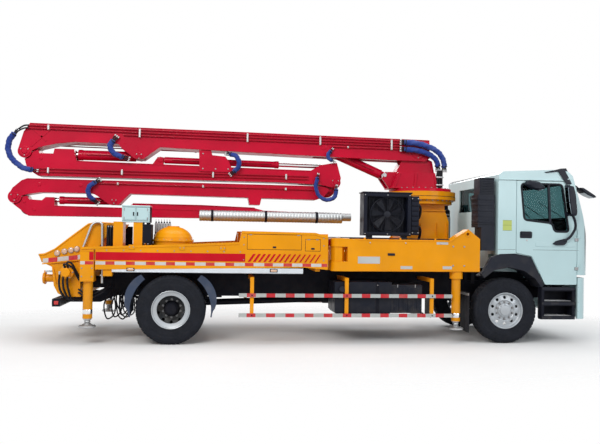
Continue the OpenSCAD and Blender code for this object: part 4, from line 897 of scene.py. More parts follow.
# Cylinders, as foot and eye (x, z), barrel and rod radius and barrel length: gland nuts and feed pipes
CYLINDERS = {"lift": ((3.70, 2.88), (2.56, 3.352), 0.085, 0.050, 1.140),
             "a": ((-0.65, 3.09), (-1.93, 3.09), 0.086, 0.050, 1.040), "c": ((-0.30, 3.046), (2.79, 3.01),
                     0.058, 0.036, 2.080), "b": ((-1.06, 2.30), (-2.13, 2.30), 0.062, 0.036, 0.930)}
for name, (a, b, r, rod_r, end) in CYLINDERS.items():
    d = Vector((b[0] - a[0], 0, b[1] - a[1])).normalized()
    base = at(a[0], 0, a[1])
    k = Kit(name + "_barrel_fittings", name + "_barrel", "boom_red").use("boom")
    k.revolve(base, d, [(r - 0.001, end - 0.075), (r + 0.007, end - 0.072), (r + 0.007, end - 0.002),
                        (r + 0.003, end + 0.001), (rod_r + 0.012, end + 0.001)], 40)
    k.use("chassis").revolve(base, d, [(rod_r + 0.012, end + 0.001), (rod_r + 0.010, end + 0.006),
                                       (rod_r + 0.001, end + 0.006)], 32)
    k.use("line")
    for y in (-1, 1):
        off = Vector((0, y * (r + 0.012), 0))
        k.tube(rounded_path([base + d * 0.20 + off * 0.8, base + d * 0.22 + off,
                             base + d * (end - 0.16) + off, base + d * (end - 0.13) + off * 0.8], 0.02),
               0.008, 8)
        for t in (0.35, 0.65):
            p = base + d * (end * t) + off
            k.rod(p - d * 0.012, p + d * 0.012, 0.013, 12, chamfer=0.002)
    k.make(36)


# Bundles of hoses in blue sleeves

def bundle(kit, places, r, tail, stubs=3):
    """Wrapped bundle: a fat woven sleeve with slack folds, and the bare hoses that leave it at both ends."""
    path = spline([at(*p) for p in places], 12)
    n, sides = len(path), 20
    verts = []
    for i, (p, u, w) in enumerate(frames(path)):
        for a in turns(sides):
            fold = 1.0 + 0.07 * math.sin(a * 3 + i * 0.55) + 0.05 * math.sin(i * 1.3 + a)
            q = r * fold * (0.72 if i in (0, n - 1) else 1.0)
            verts.append(p + (u * math.cos(a) * 1.12 + w * math.sin(a) * 0.88) * q)
    kit.use("sleeve").add(verts, bands(n, sides) + end_faces(n, sides))
    for p, q in ((path[0], path[2]), (path[-1], path[-3])):
        d = (p - q).normalized()
        s = d.cross(Vector((0, 1, 0))).normalized()
        kit.use("black").rod(p - d * 0.035, p - d * 0.015, r * 1.08, 18, chamfer=0.003)
        for m in range(stubs):
            o = s * (m - (stubs - 1) / 2) * r * 0.72
            kit.use("hose_black").tube([p - d * 0.02 + o * 0.6, p + d * tail * 0.5 + o * 0.9,
                                        p + d * tail + o], r * 0.26, 10)
            kit.use("zinc").rod(p + d * (tail - 0.012) + o, p + d * (tail + 0.020) + o, r * 0.30, 6,
                                chamfer=0.002)


# Bundles at both elbows and along the sections
k = Kit("bundle_rear_elbow", "arm_1", "hose")
for j in range(2):
    o = 0.045 * j
    k.use("hose_black").hose([(-2.47, -0.235, 3.545 - o), (-2.55, -0.245, 3.530 - o),
                              (-2.64, -0.252, 3.460 - o * 0.6), (-2.700 + o * 0.4, -0.252, 3.37)], 0.014, 10)
bundle(k, [(-2.690, -0.252, 3.400), (-2.765, -0.252, 3.29), (-2.790, -0.252, 3.14), (-2.745, -0.252, 3.00),
           (-2.655, -0.252, 2.90), (-2.530, -0.250, 2.815), (-2.385, -0.240, 2.790)], 0.044, 0.07, 2)
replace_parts(k.make(50), "hose_loop_a")
k = Kit("bundle_on_section_1", "arm_1", "hose")
bundle(k, [(-1.075, -0.255, 3.33), (-1.125, -0.272, 3.25), (-1.105, -0.278, 3.16), (-1.030, -0.275, 3.09),
           (-0.900, -0.262, 3.045)], 0.046, 0.09)
k.make(50)
k = Kit("bundle_at_lift_eye", "arm_1", "hose")
bundle(k, [(2.690, -0.235, 3.275), (2.640, -0.245, 3.21), (2.650, -0.245, 3.14), (2.720, -0.238, 3.10)],
       0.034, 0.05, 2)
k.make(50)
k = Kit("bundle_on_section_2", "arm_2", "hose")
bundle(k, [(0.90, -0.200, 3.165), (1.01, -0.240, 3.13), (1.065, -0.262, 3.02), (1.045, -0.258, 2.92),
           (0.97, -0.240, 2.85)], 0.040, 0.07)
k.make(50)
k = Kit("bundle_front_elbow", "arm_2", "hose")
bundle(k, [(2.46, -0.215, 2.80), (2.43, -0.232, 2.62), (2.50, -0.238, 2.46), (2.64, -0.238, 2.40),
           (2.77, -0.236, 2.46), (2.80, -0.228, 2.60)], 0.036, 0.06, 2)
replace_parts(k.make(50), "hose_loop_c")
k = Kit("bundle_on_section_3", "arm_3", "hose")
bundle(k, [(-1.36, -0.195, 2.62), (-1.455, -0.215, 2.55), (-1.485, -0.220, 2.46), (-1.455, -0.215, 2.37),
           (-1.38, -0.195, 2.30)], 0.040, 0.08)
k.make(50)
k = Kit("bundles_at_root", "turret", "hose")
bundle(k, [(4.02, -0.262, 3.470), (4.22, -0.268, 3.462), (4.42, -0.270, 3.418), (4.60, -0.270, 3.345),
           (4.71, -0.268, 3.245), (4.765, -0.265, 3.12), (4.77, -0.262, 3.03)], 0.052, 0.06)
bundle(k, [(4.02, -0.262, 3.345), (4.22, -0.268, 3.335), (4.40, -0.270, 3.297), (4.54, -0.268, 3.235),
           (4.63, -0.265, 3.14), (4.65, -0.262, 3.04)], 0.050, 0.06)
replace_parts(k.make(50), "root_hoses")

# Root: bundle of black pipes under the sleeves, with two clamps
k = Kit("root_pipes", "turret", "hose")
for i in range(6):
    x, y = 4.640 + 0.040 * (i % 3), -0.285 + 0.045 * (i // 3)
    k.use("hose_black").pipe([(x, y, 2.645), (x, y, 2.86), (x + 0.022 - 0.010 * (i % 3), y, 2.98)], 0.05,
                             0.017, 10)
k.use("zinc")
for z in (2.70, 2.84):
    k.block(at(4.612, -0.312, z), at(4.746, -0.213, z + 0.026), 0.004)
k.make(50)


# Deck: side panels with stripe, marking tape, hatches and their latches, light strip

def panel_details(side):
    tag = "right" if side < 0 else "left"

    def on(kit, x0, x1, z0, z1, t0=-0.001, t1=0.003, bevel=0.001):
        kit.block(at(x0, side * (SIDE + t0), z0), at(x1, side * (SIDE + t1), z1), bevel)

    k = Kit("deck_side_" + tag, "truck", "deck_yellow")
    k.use("stripe")
    on(k, -1.165, 1.16, 1.328, 1.455, -0.001, 0.0015, 0.0005)
    a, b = side * (SIDE - 0.0005), side * (SIDE + 0.0075)
    for i in range(14):
        x = 1.20 + i * 0.083
        w = 0.040 - 0.0016 * i
        k.prism([(x, 1.330), (x + w, 1.330), (x + w + 0.085, 1.455), (x + 0.085, 1.455)], a, b)
    k.use("tape")
    on(k, -1.165, 2.49, 1.258, 1.309, -0.001, 0.0015, 0.0005)
    for x0, x1, z0, z1 in ((1.19, 2.06, 1.530, 1.765), (2.13, 2.37, 1.515, 1.700)):
        k.use("yellow")
        on(k, x0, x1, z0, z1, 0.0, 0.006, 0.003)
        k.use("seal")
        for a, b, c, d in ((x0 - 0.006, x1 + 0.006, z0 - 0.006, z0), (x0 - 0.006, x1 + 0.006, z1, z1 + 0.006),
                           (x0 - 0.006, x0, z0, z1), (x1, x1 + 0.006, z0, z1)):
            on(k, a, b, c, d, -0.001, 0.001, 0.0003)
        k.use("bolt")
        for x in (x0 + 0.05, x1 - 0.05):
            k.rod(at(x - 0.022, side * (SIDE + 0.007), z1 - 0.004),
                  at(x + 0.022, side * (SIDE + 0.007), z1 - 0.004), 0.006, 10, chamfer=0.001)
        xm = (x0 + x1) / 2
        k.use("black")
        on(k, xm - 0.028, xm + 0.028, z0 + 0.020, z0 + 0.050, 0.005, 0.012, 0.003)
    # Folded lip along the top edge
    k.use("yellow")
    top = [(-1.385, 1.523), (0.31, 1.593), (1.06, 1.633), (1.10, 1.812), (2.29, 1.802), (2.50, 1.742)]
    for (xa, za), (xb, zb) in zip(top, top[1:]):
        if xb - xa < 0.1:
            continue
        k.prism([(xa, za - 0.030), (xb, zb - 0.030), (xb, zb + 0.006), (xa, za + 0.006)],
                side * (SIDE - 0.002), side * (SIDE + 0.007))
    k.use("bolt")
    for x in [-1.0 + 0.26 * i for i in range(9)]:
        k.hexbolt(at(x, side * SIDE, 1.485), (0, side, 0), 0.008, 0.006)
    for x in (1.135, 2.43):
        for z in (1.36, 1.60, 1.72):
            k.hexbolt(at(x, side * SIDE, z), (0, side, 0), 0.008, 0.006)
    # Posts of the folding rail sockets on the rim
    for x in (-0.62, 0.16, 0.80):
        k.use("yellow")
        on(k, x - 0.045, x + 0.045, 1.50, 1.575, 0.0, 0.010, 0.003)
        k.use("bolt")
        for dx in (-0.028, 0.028):
            k.hexbolt(at(x + dx, side * (SIDE + 0.010), 1.538), (0, side, 0), 0.007, 0.005)
    # Light strip under the panel
    k.use("aluminium")
    a, b = side * 1.180, side * 1.212
    k.block(at(-0.92, a, 1.140), at(2.10, b, 1.232), 0.006)
    a, b = side * 1.211, side * 1.2155
    for z in (1.150, 1.186, 1.220):
        k.block(at(-0.92, a, z), at(2.10, b, z + 0.005), 0.001)
    k.use("chassis")
    for x in (-0.80, 0.10, 1.00, 1.95):
        a, b = side * 1.150, side * 1.182
        k.block(at(x, a, 1.15), at(x + 0.05, b, 1.282), 0.003)
    for x in (-0.63, 1.62):
        a, b = sorted((side * 1.210, side * 1.226))
        k.use("black").block(at(x - 0.062, a, 1.163), at(x + 0.062, b - 0.004 if side > 0 else b, 1.213),
                             0.003)
        a, b = side * 1.222, side * 1.233
        k.use("lamp_pale").block(at(x - 0.052, a, 1.170), at(x + 0.052, b, 1.206), 0.014)
    k.make(36, 0.0008)


for side in (-1, 1):
    panel_details(side)

# Mudguard lips over the twin wheels, front mud flaps and the hoses that hang behind the rear mudguards
k = Kit("mudguard_lips", "truck", "guard_grey").use("guard_grey")
for s in (-1, 1):
    for f in (-1, 1):
        rim, lip = [], []
        for i in range(15):
            t = i / 14
            a = math.radians(90 + f * (40 + 60 * t))
            r = TYRE_R + 0.105 + 0.105 * math.sin(math.pi * min(1.0, 0.18 + t * 0.95)) ** 0.6
            rim.append((r * math.cos(a), TYRE_R + r * math.sin(a)))
            lip.append(((TYRE_R + 0.082) * math.cos(a), TYRE_R + (TYRE_R + 0.082) * math.sin(a)))
        k.prism(rim + lip[::-1], s * 1.199, s * 1.206)
k.use("hose_black")
for s in (-1, 1):
    k.block(at(4.905, s * 0.80, 0.185), at(4.915, s * 1.19, 0.86), 0.003)
    for y in (0.86, 0.93, 1.00, 1.07, 1.14):
        k.block(at(4.902, s * y - 0.008, 0.20), at(4.918, s * y + 0.008, 0.82), 0.003)
k.use("zinc")
for s in (-1, 1):
    k.block(at(4.898, s * 0.80, 0.80), at(4.905, s * 1.19, 0.84), 0.002)
k.use("hose_black")
for s in (-1, 1):
    for j in range(3):
        x, w, z = -1.02 + 0.11 * j, 0.085 - 0.012 * j, 0.36 + 0.03 * j
        k.hose([(x, s * 0.62, 0.80), (x - w, s * 0.68, 0.58), (x - w * 0.4, s * 0.70, z), (x + w * 0.8,
                s * 0.66, z + 0.05), (x + w, s * 0.60, 0.56), (x + 0.03, s * 0.56, 0.82)], 0.012, 8)
k.make(36, 0.001)

# Deck top: tread strips and hand rails
k = Kit("deck_walkway", "truck", "deck_yellow").use("zinc")
for i in range(26):
    x = -1.05 + i * 0.082
    for y0, y1 in ((-1.13, -0.66), (0.66, 1.13)):
        if y0 < 0 and -0.95 < x < 0.36:
            continue
        k.block(at(x, y0, 1.300), at(x + 0.040, y1, 1.306), 0.002)
for s in (-1, 1):
    y = s * 0.952
    k.use("zinc").pipe([(-1.41, y, 1.50), (-1.28, y, 1.880), (-1.21, y, 1.930), (-1.12, y, 1.915),
                        (-1.105, y, 1.302)], 0.05, 0.018, 12)
    for x, z in ((-1.402, 1.525), (-1.107, 1.70)):
        k.rod(at(x, s * 0.898, z), at(x, s * 0.945, z), 0.012, 12, chamfer=0.002)
    # Dark block behind the rail, painted shade of the recess there, and a yellow bracket under the deck
    k.use("chassis").block(at(-1.045, s * 0.905, 1.300), at(-0.865, s * 0.985, 1.875), 0.006)
    for j in range(4):
        k.use("hose_black").hose([(-1.015 + 0.04 * j, s * 0.99, 1.84), (-1.02 + 0.045 * j, s * 1.03,
                1.76), (-1.00 + 0.035 * j, s * 1.02, 1.62), (-1.01 + 0.04 * j, s * 0.99, 1.50)], 0.011, 8)
        k.use("bolt").hexbolt(at(-1.015 + 0.04 * j, s * 0.985, 1.855), (0, s, 0), 0.010, 0.010)
    k.use("yellow").block(at(-1.057, s * 1.06, 1.075), at(-0.914, s * 1.195, 1.222), 0.006)
    k.use("steel").rod(at(-1.080, s * 1.10, 0.96), at(-1.080, s * 1.10, 1.285), 0.020, 14, chamfer=0.003)
k.make(36, 0.0008)


# Pedestal: gussets, bolts and a slewing motor

k = Kit("pedestal_details", "truck", "deck_yellow")
for y in (-1, 1):
    k.use("yellow")
    for x in (4.02, 4.30, 4.60, 4.78):
        k.prism([(x - 0.008, 1.66), (x + 0.008, 1.66), (x + 0.008, 2.02), (x - 0.008, 2.02)], y * 0.399,
                y * 0.425)
    k.prism([(4.005, 1.655), (4.805, 1.655), (4.805, 1.675), (4.005, 1.675)], y * 0.399, y * 0.435)
    k.prism([(4.05, 2.235), (4.75, 2.235), (4.75, 2.255), (4.05, 2.255)], y * 0.399, y * 0.430)
    k.use("bolt")
    for i in range(6):
        k.hexbolt(at(3.82 + 0.15 * i, y * 0.440, 1.55), (0, y, 0), 0.014, 0.012)
k.use("yellow").revolve(at(3.90, -0.20, 2.10), UP, [(0.0, 0.0), (0.070, 0.0), (0.075, 0.006), (0.075, 0.130),
        (0.092, 0.140), (0.092, 0.300), (0.085, 0.310), (0.0, 0.310)], 32)
k.use("steel").revolve(at(3.90, -0.20, 1.94), UP, [(0.0, 0.0), (0.045, 0.0), (0.050, 0.008), (0.050, 0.150),
        (0.058, 0.160), (0.0, 0.162)], 28)
k.make(36, 0.0008)

# Outrigger arms and legs
for name, s in (("right", -1), ("left", 1)):
    y = s * 1.085
    k = Kit("swing_arm_details_" + name, name + "_swing_arm", "deck_yellow")
    for f in (-1, 1):
        face = y + f * 0.115
        lo, hi = face - f * 0.001, face + f * 0.007
        k.use("yellow")
        k.prism([(3.00, 1.196), (5.08, 1.206), (5.08, 1.224), (3.00, 1.214)], lo, hi)
        k.prism([(3.00, 1.696), (4.58, 1.696), (4.655, 1.750), (4.880, 1.892), (4.870, 1.904), (4.645, 1.764),
                 (4.575, 1.714), (3.00, 1.714)], lo, hi)
        k.revolve(at(4.87, face, 1.83), (0, f, 0), [(0.026, -0.001), (0.026, 0.008), (0.030, 0.011),
                (0.046, 0.011), (0.050, 0.007), (0.050, -0.001)], 36)
        k.use("bolt")
        for x, z in ((4.62, 1.30), (4.81, 1.30), (4.62, 1.62), (4.81, 1.62)):
            k.hexbolt(at(x, face, z), (0, f, 0), 0.012, 0.009)
        k.use("zinc")
        for x in (3.2, 3.8, 4.4):
            k.rod(at(x, face, 1.665), at(x, face + f * 0.018, 1.665), 0.011, 12, chamfer=0.002)
        k.use("plate")
        if f == s:
            for x0, x1, z0, z1 in ((3.00, 3.37, 1.320, 1.435), (4.33, 4.53, 1.650, 1.690),
                                   (3.72, 3.92, 1.235, 1.285), (4.44, 4.60, 1.240, 1.290)):
                k.prism([(x0, z0), (x1, z0), (x1, z1), (x0, z1)], face, face + f * 0.0025)
            k.use("black").block(at(3.50, face, 1.455), at(3.62, face + f * 0.014, 1.495), 0.004)
    k.use("hose_black").pipe([(2.86, y + s * 0.085, 1.728), (2.95, y + s * 0.085, 1.735),
                              (4.50, y + s * 0.085, 1.735), (4.56, y + s * 0.085, 1.728)], 0.03, 0.009, 8)
    k.use("yellow")
    for x in (3.1, 3.7, 4.3):
        k.block(at(x, y + s * 0.085 - 0.018, 1.718), at(x + 0.03, y + s * 0.085 + 0.018, 1.748), 0.003)
    k.use("steel").revolve(at(2.68, y, 1.7295), UP, [(0.052, 0.0), (0.052, 0.010), (0.046, 0.014),
            (0.0, 0.014)], 32)
    k.use("bolt")
    k.bolt_ring(at(2.68, y, 1.7295), UP, 0.085, 4, 0.010, 0.008, 0.8)
    k.make(36, 0.0008)
    for where, x, yy, foot, top in (("front", 4.715, s * 1.085, 0.23, 0.37),
                                    ("rear", -1.29, s * 1.10, 0.27, 0.42)):
        k = Kit(where + "_leg_details_" + name, where + "_" + name + "_leg", "deck_yellow")
        k.use("chrome").revolve(at(x, yy, 0), UP, [(0.0742, top + 0.06), (0.0755, top + 0.062),
                (0.0755, top + 0.130), (0.0742, top + 0.132)], 40)
        high = max(v.co.z for v in nodes[where + "_leg_" + name].data.vertices)
        leg = at(x, yy, 0)
        k.use("zinc").revolve(leg, UP, [(0.0, foot), (0.122, foot), (0.130, foot + 0.006),
                                        (0.130, foot + 0.022), (0.124, foot + 0.028), (0.092, foot + 0.034),
                                        (0.062, foot + 0.050), (0.046, foot + 0.066), (0.036, foot + 0.072),
                                        (0.044, foot + 0.078), (0.050, foot + 0.092), (0.046, foot + 0.106),
                                        (0.040, foot + 0.112), (0.058, foot + 0.116), (0.062, foot + 0.122),
                                        (0.062, foot + 0.140)], 40)
        k.use("yellow").revolve(leg, UP, [(0.055, foot + 0.138), (0.072, foot + 0.138), (0.074, foot + 0.141),
                                          (0.074, high - 0.003), (0.071, high), (0.0, high)], 40)
        k.use("bolt")
        k.bolt_ring(at(x, yy, foot + 0.031), UP, 0.108, 6, 0.008, 0.008, 0.3)
        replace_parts(k.make(36), where + "_leg_" + name)
    k = Kit("rear_beam_details_" + name, name + "_rear_beam", "deck_yellow").use("yellow")
    a, b = s * 1.2145, s * 1.2215
    for z0, z1 in ((1.00, 1.022), (1.463, 1.485)):
        k.block(at(-1.392, a, z0), at(-1.198, b, z1), 0.003)
    k.use("bolt")
    for z in (1.07, 1.20):
        for x in (-1.372, -1.218):
            k.hexbolt(at(x, s * 1.215, z), (0, s, 0), 0.009, 0.007)
    a, b = s * 1.2145, s * 1.2162
    k.use("tape").block(at(-1.396, a, 1.258), at(-1.194, b, 1.309), 0.0005)
    k.use("stripe").block(at(-1.262, a, 1.328), at(-1.194, b, 1.455), 0.0005)
    k.use("steel").revolve(at(-1.29, s * 1.10, 1.4945), UP, [(0.060, 0.0), (0.060, 0.020), (0.054, 0.026),
            (0.0, 0.026)], 32)
    k.make(36, 0.0008)


# Hopper: rim, rear lamps, tape, splash flap, agitator motors and hoses

k = Kit("hopper_details", "truck", "deck_yellow")
for s in (-1, 1):
    k.use("yellow")
    k.tube([at(x, s * 0.900, z) for x, z in ((-2.085, 1.392), (-2.02, 1.392), (-1.85, 1.478), (-1.63, 1.658),
                                             (-1.34, 1.888), (-1.20, 1.915), (-0.94, 1.905))], 0.014, 10)
    a, b = s * 0.886, s * 0.925
    k.prism(((-2.035, 1.236), (-1.46, 1.303), (-1.46, 1.321), (-2.035, 1.254)), a, b)
    a, b = s * 0.900, s * 0.9035
    k.use("tape").prism(((-2.03, 1.258), (-1.46, 1.325), (-1.46, 1.395), (-2.03, 1.328)), a, b)
    for x, z in ((-1.81, 1.41), (-1.70, 1.44), (-1.60, 1.46), (-1.51, 1.48)):
        k.use("zinc").revolve(at(x, s * 0.9, z + 0.008), (0, s, 0),
                              [(0.046, -0.001), (0.046, 0.020), (0.042, 0.026), (0.038, 0.022)], 28)
        k.use("lamp_pale").revolve(at(x, s * 0.9, z + 0.008), (0, s, 0),
                                   [(0.039, 0.018), (0.036, 0.026), (0.020, 0.032), (0.0, 0.033)], 28)
    # Motor of the agitator with its hoses
    k.use("yellow").revolve(at(-1.64, s * 0.96, 1.12), (0, s, 0), [(0.105, -0.001), (0.108, 0.010),
            (0.108, 0.045), (0.080, 0.055), (0.070, 0.060), (0.070, 0.128), (0.062, 0.136), (0.0, 0.138)], 32)
    k.use("bolt")
    k.bolt_ring(at(-1.64, s * 1.009, 1.12), (0, s, 0), 0.092, 6, 0.009, 0.008)
    k.use("hose_black")
    for j in (0, 1):
        k.hose([(-1.66 + 0.04 * j, s * 1.02, 1.19), (-1.67 + 0.05 * j, s * 1.05, 1.25 + 0.03 * j),
                (-1.55, s * 1.03, 1.20 + 0.05 * j), (-1.45, s * 0.96, 1.00 + 0.05 * j),
                (-1.30, s * 0.88, 0.90)], 0.016, 10)
        k.hose([(-1.47, s * 0.93, 0.80 + 0.05 * j), (-1.30, s * 0.97, 0.72 + 0.05 * j),
                (-1.10, s * 0.93, 0.80 + 0.04 * j), (-0.98, s * 0.80, 0.92)], 0.015, 10)
    for j, (x0, x1, z1) in enumerate(((-1.745, -1.640, 0.700), (-1.685, -1.600, 0.690),
                                      (-1.620, -1.555, 0.690))):
        k.use("hose_black").hose([(x0, s * 1.00, 1.09), (x0 - 0.006, s * 1.01, 0.95), (x0 + 0.02, s * 1.00,
                0.82), (x1, s * 0.95, z1), (x1 + 0.12, s * 0.86, z1 - 0.02)], 0.017, 10)
        k.use("zinc").rod(at(x0, s * 1.00, 1.085), at(x0, s * 1.00, 1.135), 0.021, 6, chamfer=0.003)
    # Ribs welded on the side wall
    k.use("yellow")
    for pts in (((-1.46, 0.80), (-1.44, 0.80), (-1.44, 1.24), (-1.46, 1.24)),
                ((-1.83, 0.95), (-1.81, 0.95), (-1.86, 1.19), (-1.88, 1.19))):
        k.prism(pts, s * 0.899, s * 0.935)
k.use("yellow").tube([at(-2.085, -0.90, 1.392), at(-2.085, 0.90, 1.392)], 0.014, 10)
k.tube([at(-0.94, -0.90, 1.905), at(-0.94, 0.90, 1.905)], 0.014, 10)
k.use("hose_black")
k.prism([(-2.092, 1.384), (-2.098, 1.384), (-2.052, 1.272), (-2.046, 1.272)], -0.88, 0.88)
k.make(36, 0.0008)

k = Kit("outlet_coupling", "truck", "chassis").use("yellow")
k.revolve(at(-2.20, 0, 0.96), (-1, 0, 0), [(0.092, -0.012), (0.104, -0.010), (0.104, 0.012), (0.092, 0.014)],
          48)
k.revolve(at(-1.93, 0, 0.96), (-1, 0, 0), [(0.068, -0.02), (0.125, -0.02), (0.128, -0.010), (0.128, 0.020),
                                           (0.100, 0.05), (0.068, 0.11)], 48)
k.use("zinc").rod(at(-2.17, -0.14, 1.085), at(-1.96, -0.14, 1.085), 0.016, 12, chamfer=0.003)
k.use("yellow")
k.block(at(-2.22, -0.020, 1.052), at(-2.18, 0.020, 1.092), 0.005)
k.use("bolt").hexbolt(at(-2.20, 0.02, 1.075), (0, 1, 0), 0.010, 0.010)
k.make(36, 0.0008)

# Underrun bar: rear lamps on their plates and a side lamp at each end
k = Kit("rear_bar_details", "truck", "chassis")
for s in (-1, 1):
    k.use("black").block(at(-1.838, s * 0.72, 0.600), at(-1.829, s * 1.07, 0.700), 0.003)
    for i, key in enumerate(("lamp_red", "lamp_orange", "lamp_clear")):
        y0 = 0.735 + i * 0.110
        a, b = s * y0, s * (y0 + 0.098)
        k.use(key).block(at(-1.846, a, 0.612), at(-1.835, b, 0.688), 0.004)
    k.use("lamp_red").block(at(-1.800, s * 1.099, 0.622), at(-1.735, s * 1.108, 0.678), 0.003)
k.make(36)


# Controls: white box with its seams, doors, latches and hinges, the valve stack and the test points

k = Kit("control_details", "truck", "cab_white")
k.use("seal")
k.block(at(-0.782, -1.1325, 1.950), at(-0.368, -1.1295, 1.954), 0.0005)
k.block(at(-0.782, -1.1325, 2.166), at(-0.368, -1.1295, 2.170), 0.0005)
k.block(at(-0.577, -1.1325, 1.950), at(-0.573, -1.1295, 2.170), 0.0005)
k.use("white")
k.block(at(-0.795, -1.136, 2.176), at(-0.355, -0.755, 2.196), 0.005)
k.block(at(-0.768, -1.138, 1.966), at(-0.590, -1.129, 2.154), 0.004)
k.block(at(-0.560, -1.138, 1.966), at(-0.382, -1.129, 2.154), 0.004)
k.use("black")
for x in (-0.61, -0.55):
    k.block(at(x - 0.010, -1.146, 2.03), at(x + 0.010, -1.137, 2.09), 0.003)
k.use("bolt")
for x in (-0.755, -0.395):
    for z in (1.99, 2.13):
        k.rod(at(x, -1.144, z - 0.02), at(x, -1.144, z + 0.02), 0.006, 10, chamfer=0.001)
# Valve stack behind the filter housing, on its own stand, and a column of test points beside it
for i in range(6):
    x0 = -0.345 + i * 0.046
    xc = x0 + 0.020
    k.use("steel").block(at(x0, -0.395, 1.74), at(x0 + 0.041, -0.300, 1.93), 0.004)
    k.use("chassis").rod(at(xc, -0.350, 1.93), at(xc, -0.350, 1.958), 0.014, 14, chamfer=0.002)
    k.use("zinc").pipe([(xc, -0.350, 1.95), (xc, -0.375, 1.975), (xc, -0.385, 1.995)], 0.01, 0.004, 8)
    k.use("zinc").rod(at(xc, -0.395, 1.79), at(xc, -0.412, 1.79), 0.010, 6, chamfer=0.002)
    k.use("hose_black").hose([(xc, -0.405, 1.79), (xc, -0.400, 1.74), (xc, -0.385, 1.66), (xc, -0.34, 1.50),
                              (xc, -0.29, 1.305)], 0.0085, 8)
k.use("chassis").block(at(-0.355, -0.392, 1.68), at(-0.060, -0.290, 1.74), 0.004)
k.block(at(-0.36, -0.35, 1.30), at(-0.32, -0.31, 1.70), 0.003)
k.block(at(-0.10, -0.35, 1.30), at(-0.06, -0.31, 1.70), 0.003)
k.block(at(-0.412, -1.090, 1.305), at(-0.350, -1.050, 1.925), 0.004)
for i in range(6):
    k.use("zinc").rod(at(-0.381, -1.090, 1.52 + 0.07 * i), at(-0.381, -1.104, 1.52 + 0.07 * i), 0.013, 12,
                      chamfer=0.002)
k.make(36, 0.0006)

# Round filter housing: lid flange with bolts and the cap on top
FILTER_X, FILTER_Y = -0.01, -0.76
k = Kit("filter_lid", "truck", "deck_yellow").use("yellow")
k.revolve(at(FILTER_X, FILTER_Y, 1.3), UP, [(0.3195, 0.325), (0.334, 0.327), (0.336, 0.331), (0.336, 0.353),
                                            (0.334, 0.357), (0.318, 0.359)], 72)
k.revolve(at(FILTER_X, FILTER_Y, 1.3), UP, [(0.1, 0.560), (0.1, 0.578), (0.092, 0.582), (0.0, 0.583)], 40)
k.use("bolt")
k.bolt_ring(at(FILTER_X, FILTER_Y, 1.657), UP, 0.326, 16, 0.007, 0.008)
k.make(36)


# Oil cooler: fins, fan with its round guard and shroud, frame, hoses and side box

FAN_X, FAN_Z = 3.55, 2.14
k = Kit("cooler_details", "truck", "cooler").use("cooler")
for i in range(46):
    z = 1.846 + i * 0.0129
    k.block(at(3.205, -0.835, z), at(3.895, -0.822, z + 0.004), 0.0005)
for i in range(9):
    x = 3.262 + i * 0.072
    k.use("black").block(at(x - 0.007, -0.842, 1.842), at(x + 0.007, -0.820, 2.438), 0.001)
k.use("black")
for i in range(12):
    k.revolve(at(FAN_X, -0.948, FAN_Z), RIGHT,
              [(0.036 + 0.021 * i - 0.0025, 0.0), (0.036 + 0.021 * i, 0.0025), (0.036 + 0.021 * i + 0.0025,
                      0.0), (0.036 + 0.021 * i, -0.0025), (0.036 + 0.021 * i - 0.0025, 0.0)], 72)
for i in range(8):
    a = math.pi * i / 8
    d = Vector((math.cos(a), 0, math.sin(a)))
    c = at(FAN_X, -0.945, FAN_Z)
    k.rod(c - d * 0.285, c + d * 0.285, 0.003, 8)
k.revolve(at(FAN_X, -0.930, FAN_Z), RIGHT, [(0.0, 0.0), (0.05, 0.0), (0.055, 0.006), (0.055, 0.020),
                                            (0.048, 0.024), (0.0, 0.025)], 32)
for i in range(7):
    a = 2 * math.pi * i / 7
    p, q = a, a + 0.55
    c = at(FAN_X, -0.905, FAN_Z)
    inner, outer = 0.045, 0.272
    pts = [c + Vector((r * math.cos(t), o, r * math.sin(t))) for r, t,
           o in ((inner, p, 0.02), (outer, p + 0.1, 0.02), (outer, q, -0.012), (inner, q, -0.012))]
    k.add([tuple(v) for v in pts] + [tuple(v + Vector((0, 0.006, 0))) for v in pts],
          [(0, 1, 2, 3), (7, 6, 5, 4), (0, 4, 5, 1), (1, 5, 6, 2), (2, 6, 7, 3), (3, 7, 4, 0)])
k.revolve(at(FAN_X, -0.900, FAN_Z), RIGHT, [(0.284, 0.0), (0.284, 0.045), (0.290, 0.050), (0.296, 0.045),
                                            (0.296, 0.0)], 72)
k.use("cooler")
for z in (1.795, 2.450):
    k.block(at(3.145, -0.968, z), at(3.955, -0.959, z + 0.035), 0.003)
for x in (3.145, 3.920):
    k.block(at(x, -0.968, 1.83), at(x + 0.035, -0.959, 2.45), 0.003)
k.block(at(3.12, -0.975, 2.498), at(3.98, -0.650, 2.520), 0.006)
k.use("bolt")
for x in (3.165, 3.55, 3.935):
    for z in (1.812, 2.468):
        k.hexbolt(at(x, -0.968, z), RIGHT, 0.008, 0.006)
k.use("hose_black")
for j, z in enumerate((1.95, 2.32)):
    k.hose([(4.10, -0.80, z), (4.15, -0.80, z - 0.01), (4.185, -0.76, z - 0.08), (4.18, -0.68, z - 0.22),
            (4.12, -0.56, z - 0.30)], 0.022, 12)
    k.use("zinc").rod(at(4.105, -0.80, z), at(4.130, -0.80, z), 0.030, 6, chamfer=0.003)
    k.use("hose_black")
k.use("cooler").block(at(3.972, -0.930, 1.800), at(4.110, -0.720, 2.462), 0.008)
k.use("chassis")
for i in range(7):
    z = 1.86 + i * 0.085
    k.block(at(3.990, -0.940, z), at(4.095, -0.928, z + 0.030), 0.004)
k.use("zinc")
for z in (1.84, 2.42):
    for x in (3.99, 4.092):
        k.hexbolt(at(x, -0.930, z), RIGHT, 0.007, 0.006)
k.make(36, 0.0006)


# Intake tower: louvres at the head and ribs down the body; exhaust stack: outlet, clamps and shield

